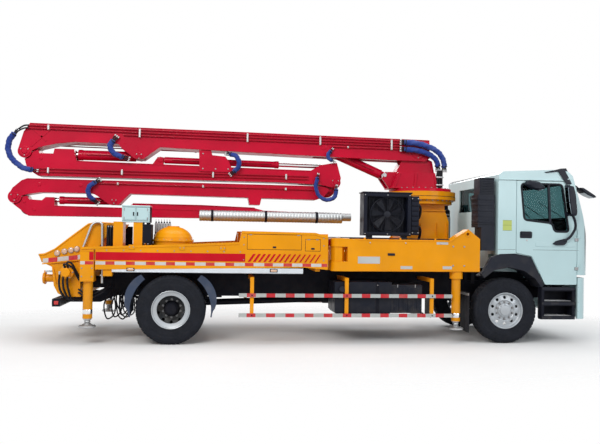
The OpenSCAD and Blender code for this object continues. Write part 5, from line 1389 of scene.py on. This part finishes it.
STACK_X, STACK_Y = 5.21, 0.89
k = Kit("intake_details", "truck", "black_plastic").use("black")
for i in range(8):
    z = 2.535 + i * 0.027
    k.prism([(-1.170, z), (-1.158, z - 0.004), (-1.158, z + 0.006), (-1.170, z + 0.014)], 5.100, 5.320, "YZ")
for i in range(5):
    z = 2.03 + i * 0.095
    k.block(at(5.062, -1.188, z), at(5.328, -1.178, z + 0.040), 0.004)
    k.block(at(5.042, -1.170, z), at(5.052, -0.900, z + 0.040), 0.004)
k.block(at(5.085, -1.178, 2.762), at(5.345, -0.900, 2.790), 0.010)
k.use("seal").block(at(5.045, -1.183, 1.992), at(5.343, -0.887, 2.004), 0.002)
k.block(at(5.075, -1.178, 2.494), at(5.343, -0.897, 2.506), 0.002)
k.use("chassis").revolve(at(STACK_X, STACK_Y, 2.30), UP, [(0.088, -0.001), (0.060, 0.030), (0.055, 0.032),
        (0.055, 0.120), (0.050, 0.122), (0.050, 0.04)], 36)
k.use("zinc")
for z in (1.62, 1.95, 2.22):
    k.revolve(at(STACK_X, STACK_Y, z), UP, [(0.0895, -0.012), (0.093, -0.010), (0.093, 0.010),
                                            (0.0895, 0.012)], 40)
k.use("steel").revolve(at(STACK_X, STACK_Y, 1.70), UP, [(0.0895, 0.0), (0.100, 0.004), (0.100, 0.470),
        (0.0895, 0.474)], 40)
k.make(36, 0.0006)


# Chassis: tank straps, filler cap, battery box, looped brake hoses and bolts on the guard rails

k = Kit("tank_details", "truck", "chassis")
for x in (2.86, 3.36):
    k.use("chassis")
    k.pipe([(x, -0.50, 1.013), (x, -1.113, 1.013), (x, -1.113, 0.477), (x, -0.50, 0.477)], 0.02, 0.006, 8)
    k.block(at(x - 0.025, -1.1145, 0.49), at(x + 0.025, -1.1095, 1.00), 0.001)
    k.use("hose_black").block(at(x - 0.032, -1.1115, 0.49), at(x + 0.032, -1.1095, 1.00), 0.0005)
    k.use("bolt").hexbolt(at(x, -1.1145, 0.96), RIGHT, 0.008, 0.010)
k.use("black").revolve(at(2.76, -1.11, 0.88), (0, -1, 0.35), [(0.040, -0.03), (0.040, 0.020), (0.052, 0.022),
        (0.054, 0.028), (0.054, 0.044), (0.048, 0.050), (0.0, 0.051)], 32)
k.use("black")
for i in range(6):
    x = 3.64 + i * 0.078
    k.block(at(x, -1.108, 0.54), at(x + 0.030, -1.099, 0.92), 0.004)
k.block(at(3.585, -1.106, 0.935), at(4.125, -0.485, 0.968), 0.008)
k.use("bolt")
for x in (3.70, 4.00):
    k.rod(at(x, -1.112, 0.925), at(x, -1.112, 0.975), 0.008, 10, chamfer=0.002)
for j in range(3):
    x = -0.88 + 0.05 * j
    k.use("hose_black").hose([(x - 0.05, -0.52, 0.72), (x - 0.04, -0.60, 0.58), (x, -0.64, 0.40 + 0.03 * j),
                              (x + 0.08, -0.62, 0.34 + 0.03 * j), (x + 0.15, -0.58, 0.46),
                              (x + 0.14, -0.52, 0.66)], 0.011, 8)
k.use("chassis")
for s in (-1, 1):
    for z in (0.47, 0.79):
        for x in (1.28, 2.83, 4.27):
            k.hexbolt(at(x, s * 1.200, z), (0, s, 0), 0.009, 0.007)
k.make(36, 0.0006)


# Cab: seams, seals, lamps, handles, wipers, mirrors, visor, grille and steps

CAB_FRONT = [(7.060, 1.160), (7.045, 1.560), (7.000, 1.870), (6.940, 2.090), (6.715, 2.850)]
nose = lerp([(z, x) for x, z in CAB_FRONT])


def offset_loop(pts, d):
    """Closed outline of (x, z) points moved outwards by d."""
    n = len(pts)
    area = sum(pts[i - 1][0] * pts[i][1] - pts[i][0] * pts[i - 1][1] for i in range(n)) / 2
    out = []
    for i in range(n):
        p, a, b = Vector(pts[i]), Vector(pts[i - 1]), Vector(pts[(i + 1) % n])
        u, v = (p - a).normalized(), (b - p).normalized()
        m = Vector((u.y + v.y, -u.x - v.x))
        m = m / max(0.35, m.length * math.cos(u.angle(v) / 2))
        out.append(p + m * d * (1 if area > 0 else -1))
    return out


def outline(kit, pts, y, s, width, t0, t1):
    """Flat strip of one width that follows a closed outline in X and Z."""
    n = len(pts)
    rings = [offset_loop(pts, width / 2), offset_loop(pts, -width / 2)]
    verts = [at(q.x, yy, q.y) for yy in (y + s * t0, y + s * t1) for ring in rings for q in ring]
    faces = []
    for i in range(n):
        j = (i + 1) % n
        faces += [(a * n + i, a * n + j, b * n + j, b * n + i) for a, b in ((0, 1), (2, 3), (0, 2), (1, 3))]
    kit.add(verts, faces)


DOOR = [(FRONT + x, z) for x, z in ((0.670, 1.000), (1.235, 1.000), (1.235, 1.900), (1.040, 2.750),
                                    (0.150, 2.750), (0.150, 1.530), (0.430, 1.478))]
WINDOW = [(FRONT + x, z) for x, z in ((0.285, 2.090), (0.785, 2.040), (0.825, 1.900), (1.085, 1.900),
                                      (0.955, 2.705), (0.225, 2.700))]

for name, s in (("right", -1), ("left", 1)):
    k = Kit("door_details_" + name, name + "_door", "cab_white")
    y = s * SIDE
    a, b = sorted((y, y - s * 0.060))
    k.use("white")
    sheet(k, [rounded_loop(DOOR, 0.020), rounded_loop(WINDOW, 0.060)], a, b)
    k.use("seal")
    outline(k, rounded_loop(WINDOW, 0.060), y, s, 0.034, -0.006, 0.004)
    k.use("bolt")
    for z in (1.25, 1.74):
        k.rod(at(6.808, s * 1.233, z), at(6.808, s * 1.233, z + 0.05), 0.011, 14, chamfer=0.002)
        k.block(at(6.760, s * 1.218, z), at(6.806, s * 1.236, z + 0.05), 0.002)
    k.use("black")
    k.prism([(6.300, 2.02), (6.335, 2.02), (6.300, 2.70), (6.265, 2.70)], y - s * 0.030, y + s * 0.002)
    # Pressed recess and pull handle with its key hole
    k.prism([(5.780, 1.780), (5.980, 1.780), (5.990, 1.800), (5.990, 1.880), (5.970, 1.895), (5.790, 1.895),
             (5.775, 1.880), (5.775, 1.800)], y - s * 0.0005, y + s * 0.004)
    k.prism([(5.795, 1.842), (5.965, 1.842), (5.965, 1.880), (5.795, 1.880)], y + s * 0.020, y + s * 0.034)
    k.use("zinc").revolve(at(5.90, y, 1.745), (0, s, 0), [(0.016, -0.001), (0.016, 0.003), (0.013, 0.005),
            (0.0, 0.005)], 24)
    # Panel lines and lower trim
    k.use("seal")
    k.prism([(6.010, 1.583), (6.795, 1.583), (6.795, 1.587), (6.010, 1.587)], y - s * 0.0005, y + s * 0.001)
    k.use("white")
    k.prism([(6.060, 1.640), (6.740, 1.640), (6.760, 1.660), (6.740, 1.720), (6.080, 1.720), (6.050, 1.700)],
            y - s * 0.0005, y + s * 0.004)
    # Hinge bolts
    k.use("bolt")
    for z in (1.262, 1.288, 1.752, 1.778):
        k.hexbolt(at(6.775, s * 1.231, z), (0, s, 0), 0.006, 0.004)
    # Shade and inner trim panel with a grab handle
    k.use("dark_interior")
    k.prism([(6.03, 1.56), (6.76, 1.56), (6.76, 1.86), (6.36, 1.87), (6.33, 2.01), (5.86, 2.06), (5.74, 2.0),
             (5.74, 1.60)], s * 1.158, s * 1.146)
    k.pipe([(6.15, s * 1.150, 1.80), (6.17, s * 1.105, 1.82), (6.48, s * 1.105, 1.82),
            (6.50, s * 1.150, 1.80)], 0.02, 0.012, 10)
    # Mirrors: shells with a rim, glass on the rear face, wide mirror below and its arms
    k.use("black")
    k.pipe([(6.600, s * 1.222, 2.66), (6.600, s * 1.33, 2.685), (6.600, s * 1.345, 2.60)], 0.03, 0.013, 10)
    k.pipe([(6.600, s * 1.222, 2.20), (6.600, s * 1.33, 2.175), (6.600, s * 1.345, 2.24)], 0.03, 0.013, 10)
    for z in (2.20, 2.66):
        k.block(at(6.570, s * 1.219, z - 0.035), at(6.630, s * 1.232, z + 0.035), 0.004)
    shell = ((6.535, 2.655), (6.575, 2.675), (6.630, 2.668), (6.662, 2.560), (6.700, 2.220), (6.690, 2.170),
             (6.640, 2.155), (6.600, 2.180), (6.560, 2.420))
    middle = [sum(values) / len(shell) for values in zip(*shell)]
    pod(k, rounded_loop(shell, 0.02, 2), middle, [(s * y1, g) for y1,
            g in ((1.278, 0.90), (1.290, 0.985), (1.350, 1.0), (1.405, 0.985), (1.420, 0.88))])
    k.use("mirror")
    a, b = s * 1.295, s * 1.405
    for (xa, za), (xb, zb) in (((6.533, 2.640), (6.556, 2.400)), ((6.558, 2.385), (6.592, 2.200))):
        k.add([at(xa - 0.003, a, za), at(xa - 0.003, b, za), at(xb - 0.003, b, zb), at(xb - 0.003, a, zb),
               at(xa + 0.012, a, za), at(xa + 0.012, b, za), at(xb + 0.012, b, zb), at(xb + 0.012, a, zb)],
              [(0, 1, 2, 3), (4, 5, 6, 7), (0, 1, 5, 4), (1, 2, 6, 5), (2, 3, 7, 6), (3, 0, 4, 7)])
    # Arm under the mirror with its foot on the door
    k.use("black").hose([(6.655, s * 1.345, 2.17), (6.705, s * 1.330, 2.06), (6.715, s * 1.305, 1.95),
                         (6.650, s * 1.275, 1.82), (6.560, s * 1.245, 1.745)], 0.022, 12)
    foot = ((6.350, 1.690), (6.420, 1.745), (6.540, 1.775), (6.620, 1.790), (6.600, 1.715), (6.560, 1.672),
            (6.420, 1.668))
    k.prism(rounded_loop(foot, 0.02, 3), s * 1.219, s * 1.252)
    if s < 0:
        # Kerb mirror over the window
        kerb = ((5.820, 2.690), (5.880, 2.765), (6.090, 2.735), (6.200, 2.630), (6.110, 2.580),
                (5.950, 2.610))
        pod(k, rounded_loop(kerb, 0.03, 3), (6.01, 2.67),
            ((-1.228, 0.92), (-1.245, 1.0), (-1.300, 0.94), (-1.335, 0.62)))
        k.use("mirror").prism([(6.07, 2.588), (6.14, 2.600), (6.12, 2.612), (6.06, 2.602)], -1.306, -1.240)
    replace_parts(k.make(36, 0.0008), "door_" + name)

# Cab body: gutters, panel seams, a blank sticker and grab rails
k = Kit("cab_details", "cab", "cab_white")
for s in (-1, 1):
    y = s * SIDE
    k.use("white")
    a, b = y - s * 0.004, y + s * 0.012
    k.prism([(5.402, 2.758), (6.560, 2.768), (6.660, 2.800), (6.655, 2.815), (6.555, 2.783), (5.402, 2.773)],
            a, b)
    k.use("seal")
    for pts in (((5.392, 1.583), (5.700, 1.583), (5.700, 1.587), (5.392, 1.587)),
                ((5.392, 2.748), (6.590, 2.752), (6.590, 2.756), (5.392, 2.752)),
                ((6.808, 1.583), (6.835, 1.583), (6.835, 1.587), (6.808, 1.587))):
        k.prism(pts, y - s * 0.001, y + s * 0.0008)
    k.use("sticker").prism([(5.47, 1.905), (5.63, 1.905), (5.63, 2.075), (5.47, 2.075)], y - s * 0.0005,
                           y + s * 0.0010)
    k.use("seal")
    for z in (1.903, 1.992, 2.075):
        k.prism([(5.47, z), (5.63, z), (5.63, z + 0.003), (5.47, z + 0.003)], y - s * 0.0005, y + s * 0.0014)
    k.use("black")
    k.pipe([(6.805, s * 1.150, 2.02), (6.845, s * 1.185, 2.00), (6.905, s * 1.165, 1.62),
            (6.890, s * 1.120, 1.60)], 0.03, 0.012, 10)
k.use("seal")
# Windscreen seal and wipers
for s in (-1, 1):
    a = at(nose(2.16) + 0.004, s * 1.0, 2.16)
    b = at(nose(2.78) + 0.004, s * 1.0, 2.78)
    k.tube([a, b], 0.014, 10)
for z in (2.148, 2.792):
    k.tube([at(nose(z) + 0.003, -1.005, z), at(nose(z) + 0.003, 1.005, z)], 0.014, 10)
k.use("black")
for y0, y1 in ((-0.62, -0.05), (0.05, 0.62), (0.70, 0.98)):
    p = at(nose(2.10) + 0.030, y0, 2.10)
    q = at(nose(2.42) + 0.016, y1, 2.36)
    k.rod(p - Vector((0.03, 0, 0)), p + Vector((0.004, 0, 0)), 0.018, 14, chamfer=0.003)
    k.tube([p, (p + q) / 2 + Vector((0.012, 0, 0)), q], 0.006, 8)
    d = (q - p).normalized() * 0.26
    k.tube([q - d, q + d], 0.007, 6)
# Grille panel: slats, bright strip and the panel over it
for i in range(7):
    z = 1.385 + i * 0.024
    k.prism([(nose(z), z), (nose(z) + 0.012, z + 0.002), (nose(z) + 0.012, z + 0.010), (nose(z), z + 0.014)],
            -0.74, 0.74)
k.use("chrome").prism([(nose(1.36) - 0.001, 1.352), (nose(1.36) + 0.008, 1.354), (nose(1.36) + 0.008, 1.362),
                       (nose(1.36) - 0.001, 1.364)], -0.77, 0.77)
k.use("white")
k.prism([(nose(1.74) - 0.001, 1.66), (nose(1.74) + 0.012, 1.67), (nose(1.80) + 0.008, 1.80),
         (nose(1.80) - 0.003, 1.81)], -0.70, 0.70)
k.use("seal")
for z in (1.255, 1.590, 2.085):
    k.prism([(nose(z) - 0.002, z - 0.002), (nose(z) + 0.0012, z - 0.002), (nose(z) + 0.0012, z + 0.002),
             (nose(z) - 0.002, z + 0.002)], -0.98, 0.98)
# Ribs along the roof
k.use("white")
for y in (-0.70, -0.35, 0.0, 0.35, 0.70):
    k.prism([(5.50, 2.897), (6.34, 2.946), (6.34, 2.956), (5.50, 2.907)], y - 0.020, y + 0.020)
k.make(36, 0.0008)

# Visor that wraps round the corners, lower grille panel and the front mirror on its arm
k = Kit("cab_front_trim", "cab", "black_plastic").use("black")
ends = [(1.238, ((6.415, 2.955), (6.500, 2.968), (6.640, 2.712), (6.590, 2.700))),
        (1.205, ((6.500, 2.978), (6.600, 2.985), (6.750, 2.722), (6.705, 2.712))),
        (1.050, ((6.600, 2.985), (6.690, 2.990), (6.842, 2.742), (6.800, 2.732))),
        (0.500, ((6.640, 2.990), (6.725, 2.992), (6.872, 2.745), (6.835, 2.735)))]
rows = [(-y, q) for y, q in ends] + [(y, q) for y, q in ends[::-1]]
loft(k, [[at(x, y, z) for x, z in q] for y, q in rows])
for s in (-1, 1):
    k.prism(((6.200, 2.906), (6.430, 2.958), (6.440, 2.920), (6.230, 2.893)), s * 1.221, s * 1.238)
for y in (-0.70, 0.0, 0.70):
    k.prism(((6.640, 2.940), (6.735, 2.995), (6.885, 2.748), (6.840, 2.728)), y - 0.008, y + 0.008)
k.prism([(7.0525, 1.360), (7.065, 1.360), (7.052, 1.560), (7.045, 1.560)], -0.76, 0.76)
k.hose([(6.730, -0.985, 2.60), (6.770, -1.00, 2.672), (6.840, -1.00, 2.705), (6.900, -1.00, 2.695),
        (6.950, -1.00, 2.650)], 0.014, 12)
leaf = ((6.930, 2.672), (6.975, 2.672), (7.070, 2.615), (7.215, 2.528), (7.226, 2.506), (7.195, 2.500),
        (7.075, 2.546), (6.995, 2.592), (6.935, 2.645))
pod(k, leaf, (7.070, 2.590), ((-1.115, 0.80), (-1.095, 0.97), (-1.0, 1.0), (-0.905, 0.97), (-0.885, 0.80)))
k.use("mirror").prism([(7.000, 2.587), (7.075, 2.544), (7.190, 2.500), (7.188, 2.496), (7.073, 2.538),
                       (6.998, 2.582)], -1.085, -0.915)
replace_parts(k.make(36, 0.0012), "cab_trim")

# Bumper: lamps in their pockets, step treads, seams and a blank plate panel
k = Kit("bumper_details", "truck", "cab_white")
for s in (-1, 1):
    for i, (y0, r) in enumerate(((0.72, 0.058), (0.86, 0.058), (0.99, 0.045))):
        k.use("chrome").revolve(at(6.968, s * y0, 0.625), AHEAD, [(r, 0.022), (r * 0.96, 0.026),
                (r * 0.8, 0.010), (r * 0.3, -0.010), (0.0, -0.014)], 32)
        k.use("lamp_clear" if i < 2 else "lamp_orange").revolve(at(6.968, s * y0, 0.625), AHEAD,
                [(r, 0.020), (r * 0.98, 0.027), (r * 0.6, 0.030), (0.0, 0.031)], 32)
    k.use("black").block(at(6.945, s * 0.645, 0.565), at(6.956, s * 1.065, 0.686), 0.003)
    # Treads of the two steps
    k.use("zinc")
    for z in (0.470, 0.720):
        for i in range(6):
            a, b = s * (0.985 + i * 0.036), s * (1.003 + i * 0.036)
            k.block(at(6.235, a, z - 0.001), at(6.725, b, z + 0.006), 0.001)
    k.use("black")
    for z in (0.410, 0.650, 0.905):
        a, b = s * 1.209, s * 1.216
        k.block(at(6.185, a, z + 0.004), at(6.775, b, z + 0.050), 0.003)
    k.use("seal")
    for z in (0.545, 0.70, 0.955):
        a, b = s * 1.2185, s * 1.2212
        k.block(at(6.822, a, z), at(6.838, b, z + 0.004), 0.001)
k.use("black").block(at(6.998, -0.42, 0.46), at(7.0045, 0.42, 0.54), 0.002)
for i in range(4):
    z = 0.78 + i * 0.055
    k.block(at(6.9985, -0.55, z), at(7.0035, 0.55, z + 0.026), 0.002)
k.use("seal").block(at(6.9985, -1.05, 0.745), at(7.0012, 1.05, 0.749), 0.0005)
k.make(36, 0.0008)


# Dressing of the pieces that come from the CAD model

ONE_MATERIAL = {
    "chassis": ("frame_rails", "front_axle", "rear_axle", "engine_block", "hopper_grate", "agitator"),
    "yellow": ("beam_housing", "outlet_pipe", "filter_housing", "pedestal"),
    "line": ("deck_line",),
    "cooler": ("oil_cooler",),
    "glass": ("cab_glass",),
    "black": ("cab_trim",),
}
for base, names in ONE_MATERIAL.items():
    for name in names:
        dress(name, base=base)
dress("front_bumper", ("chassis", lambda x, y, z, n: x < 6.80 or (z > 0.7 and abs(y) < 0.46 and x < 6.97)),
      base="white")
dress("mudguards", ("guard_grey", lambda x, y, z, n: x < 3.0), base="black")
dress("tanks", ("black", lambda x, y, z, n: x > 3.595), base="tank")
dress("guard_rails", ("yellow", lambda x, y, z, n: 1.2 < x < 4.35 and (abs(y) < 1.1751
        and not (abs(y) > 1.1749 and (z < 0.505 or 0.755 < z < 0.825)) or z > 0.85)),
      ("chassis", lambda x, y, z, n: x < -0.85), base="rail_bands")
dress("deck", ("chassis", lambda x, y, z, n: z < 1.1805 and abs(y) < 0.76), base="yellow")
dress("hopper", ("chassis", lambda x, y, z, n: z < 0.985 and abs(y) < 0.45 and x > -1.44), base="yellow")
dress("pump_unit", ("yellow", lambda x, y, z, n: 0.69 < x < 1.051 or x < -1.129), base="steel")
dress("controls", ("white", lambda x, y, z, n: z > 1.936 or (z > 1.929 and n.z < -0.5)),
      ("chassis", lambda x, y, z, n: x > -0.476), base="yellow")
dress("intake_tower", ("chassis", lambda x, y, z, n: y > 0.75 or z < 1.56), base="black")


def in_cab(x, y, z, n):
    """True for the faces inside the cab."""
    top = 2.925 - max(0.0, (x - 6.5) * 0.35) if x < 6.6 else 2.95
    return abs(y) < 1.175 and 1.53 < z < min(2.91, top) and 5.42 < x < 5.555 + 1.47 - max(0.0,
            (z - 1.55) * 0.07, (z - 2.09) * 0.296 + 0.08)


dress("cab_shell", ("headliner", in_cab), base="white")
dress("cab_interior", ("seat", lambda x, y, z, n: x < 6.31 and abs(y) > 0.33 and z > 1.84),
      base="dark_interior")
for name in ("right", "left"):
    dress("door_" + name, ("black", lambda x, y, z, n: abs(y) > 1.2215), base="white")
    dress("door_glass_" + name, base="glass")
    dress("knuckle_" + name, base="chassis")
    dress("swing_arm_" + name, ("steel", lambda x, y, z, n: math.hypot(x - 2.68, abs(y) - 1.085) < 0.045),
          base="yellow")
    dress("front_leg_" + name, ("zinc", lambda x, y, z, n: z < 0.372), base="yellow")
    dress("rear_beam_" + name, base="yellow")
    dress("rear_leg_" + name, ("zinc", lambda x, y, z, n: z < 0.412), base="yellow")
dress("turret", ("steel", lambda x, y, z, n: math.hypot(x - 3.70, z - 2.88) < 0.040 and abs(y) > 0.03),
      base="boom")
dress("arm_1", ("line", lambda x, y, z, n: y > 0.2005),
      ("steel", lambda x, y, z, n: abs(y) > 0.1995 and math.hypot(x - 4.30, z - 3.30) < 0.031), base="boom")
dress("arm_2", ("line", lambda x, y, z, n: y > 0.1705), base="boom")
dress("arm_3", ("line", lambda x, y, z, n: y > 0.1455), base="boom")
dress("arm_4", ("line", lambda x, y, z, n: y > 0.1205), ("end_pipe", lambda x, y, z,
        n: y < -0.1355 or (y < -0.12 and math.hypot(y + 0.198, z - 2.10) < 0.072)), base="boom")
for name in ("lift", "a", "c", "b"):
    dress(name + "_barrel", base="boom")
    dress(name + "_rod", base="chrome")


# Camera as in the photo

def camera():
    yaw, pitch, roll = 0.1258, 0.0192, 0.0167
    view = Vector((math.sin(yaw) * math.cos(pitch), math.cos(yaw) * math.cos(pitch), math.sin(pitch)))
    right0 = Vector((math.cos(yaw), -math.sin(yaw), 0.0))
    up0 = right0.cross(view)
    right = right0 * math.cos(roll) + up0 * math.sin(roll)
    up = up0 * math.cos(roll) - right0 * math.sin(roll)
    data = bpy.data.cameras.new("photo_camera")
    data.lens = 40.29
    data.sensor_width = 36.0
    data.clip_end = 200.0
    o = bpy.data.objects.new("photo_camera", data)
    bpy.context.scene.collection.objects.link(o)
    m = Matrix((right, up, -view)).transposed().to_4x4()
    m.translation = Vector((-1.4952, -11.9945, 1.772))
    o.matrix_world = m
    bpy.context.scene.camera = o


def area_light(name, place, target, size, power, colour=(1, 1, 1)):
    data = bpy.data.lights.new(name, "AREA")
    data.shape = "RECTANGLE"
    data.size, data.size_y = size
    data.energy = power
    data.color = colour
    o = bpy.data.objects.new(name, data)
    bpy.context.scene.collection.objects.link(o)
    o.location = place
    o.rotation_euler = (Vector(target) - Vector(place)).to_track_quat("-Z", "Y").to_euler()


camera()
area_light("key_light", (-6.0, -11.0, 9.5), (0, 0, 1.6), (8, 5), 1200, (1.0, 0.99, 0.97))
area_light("fill_light", (9.0, -9.0, 5.5), (1, 0, 1.6), (8, 6), 340, (0.94, 0.97, 1.0))
area_light("back_light", (2.0, 11.0, 8.0), (0, 0, 1.6), (12, 6), 700)
area_light("top_light", (0.0, -1.0, 11.0), (0, 0, 1.0), (12, 7), 620)


def background():
    world = bpy.data.worlds.new("studio")
    bpy.context.scene.world = world
    world.use_nodes = True
    t = world.node_tree
    t.nodes.clear()
    out = t.nodes.new("ShaderNodeOutputWorld")
    light = t.nodes.new("ShaderNodeBackground")
    light.inputs["Color"].default_value = (0.90, 0.95, 1.0, 1.0)
    light.inputs["Strength"].default_value = 0.36
    white = t.nodes.new("ShaderNodeBackground")
    white.inputs["Color"].default_value = (1.0, 1.0, 1.0, 1.0)
    white.inputs["Strength"].default_value = 1.0
    path = t.nodes.new("ShaderNodeLightPath")
    mix = t.nodes.new("ShaderNodeMixShader")
    shown = math_node(t, "MAXIMUM", path.outputs["Is Glossy Ray"], path.outputs["Is Transmission Ray"])
    link(t, math_node(t, "MAXIMUM", path.outputs["Is Camera Ray"], shown), mix.inputs["Fac"])
    link(t, light.outputs["Background"], mix.inputs[1])
    link(t, white.outputs["Background"], mix.inputs[2])
    link(t, mix.outputs["Shader"], out.inputs["Surface"])


background()


def floor():
    mesh = bpy.data.meshes.new("studio_floor")
    mesh.from_pydata([(-40, -40, 0), (40, -40, 0), (40, 40, 0), (-40, 40, 0)], [], [(0, 1, 2, 3)])
    m, t, s = new_material("studio_floor")
    link(t, mix_colour(t, remap(t, noise(t, 0.35, 3.0), 0.3, 0.7), (0.79, 0.79, 0.79), (0.82, 0.82, 0.82)),
         s.inputs["Base Color"])
    s.inputs["Roughness"].default_value = 0.85
    # The floor fades into the white background away from the vehicle
    reach = t.nodes.new("ShaderNodeMapping")
    reach.inputs["Scale"].default_value = (0.16, 0.30, 1.0)
    link(t, place(t), reach.inputs["Vector"])
    length = t.nodes.new("ShaderNodeVectorMath")
    length.operation = "LENGTH"
    link(t, reach.outputs["Vector"], length.inputs[0])
    clear = t.nodes.new("ShaderNodeBsdfTransparent")
    mix = t.nodes.new("ShaderNodeMixShader")
    link(t, remap(t, length.outputs["Value"], 0.70, 1.45), mix.inputs["Fac"])
    link(t, s.outputs["BSDF"], mix.inputs[1])
    link(t, clear.outputs["BSDF"], mix.inputs[2])
    link(t, mix.outputs["Shader"], t.nodes["Material Output"].inputs["Surface"])
    mesh.materials.append(m)
    o = bpy.data.objects.new("studio_floor", mesh)
    bpy.context.scene.collection.objects.link(o)
    o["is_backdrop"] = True


floor()
bpy.context.scene.view_settings.view_transform = "Standard"

bpy.context.view_layer.update()
low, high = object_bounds()
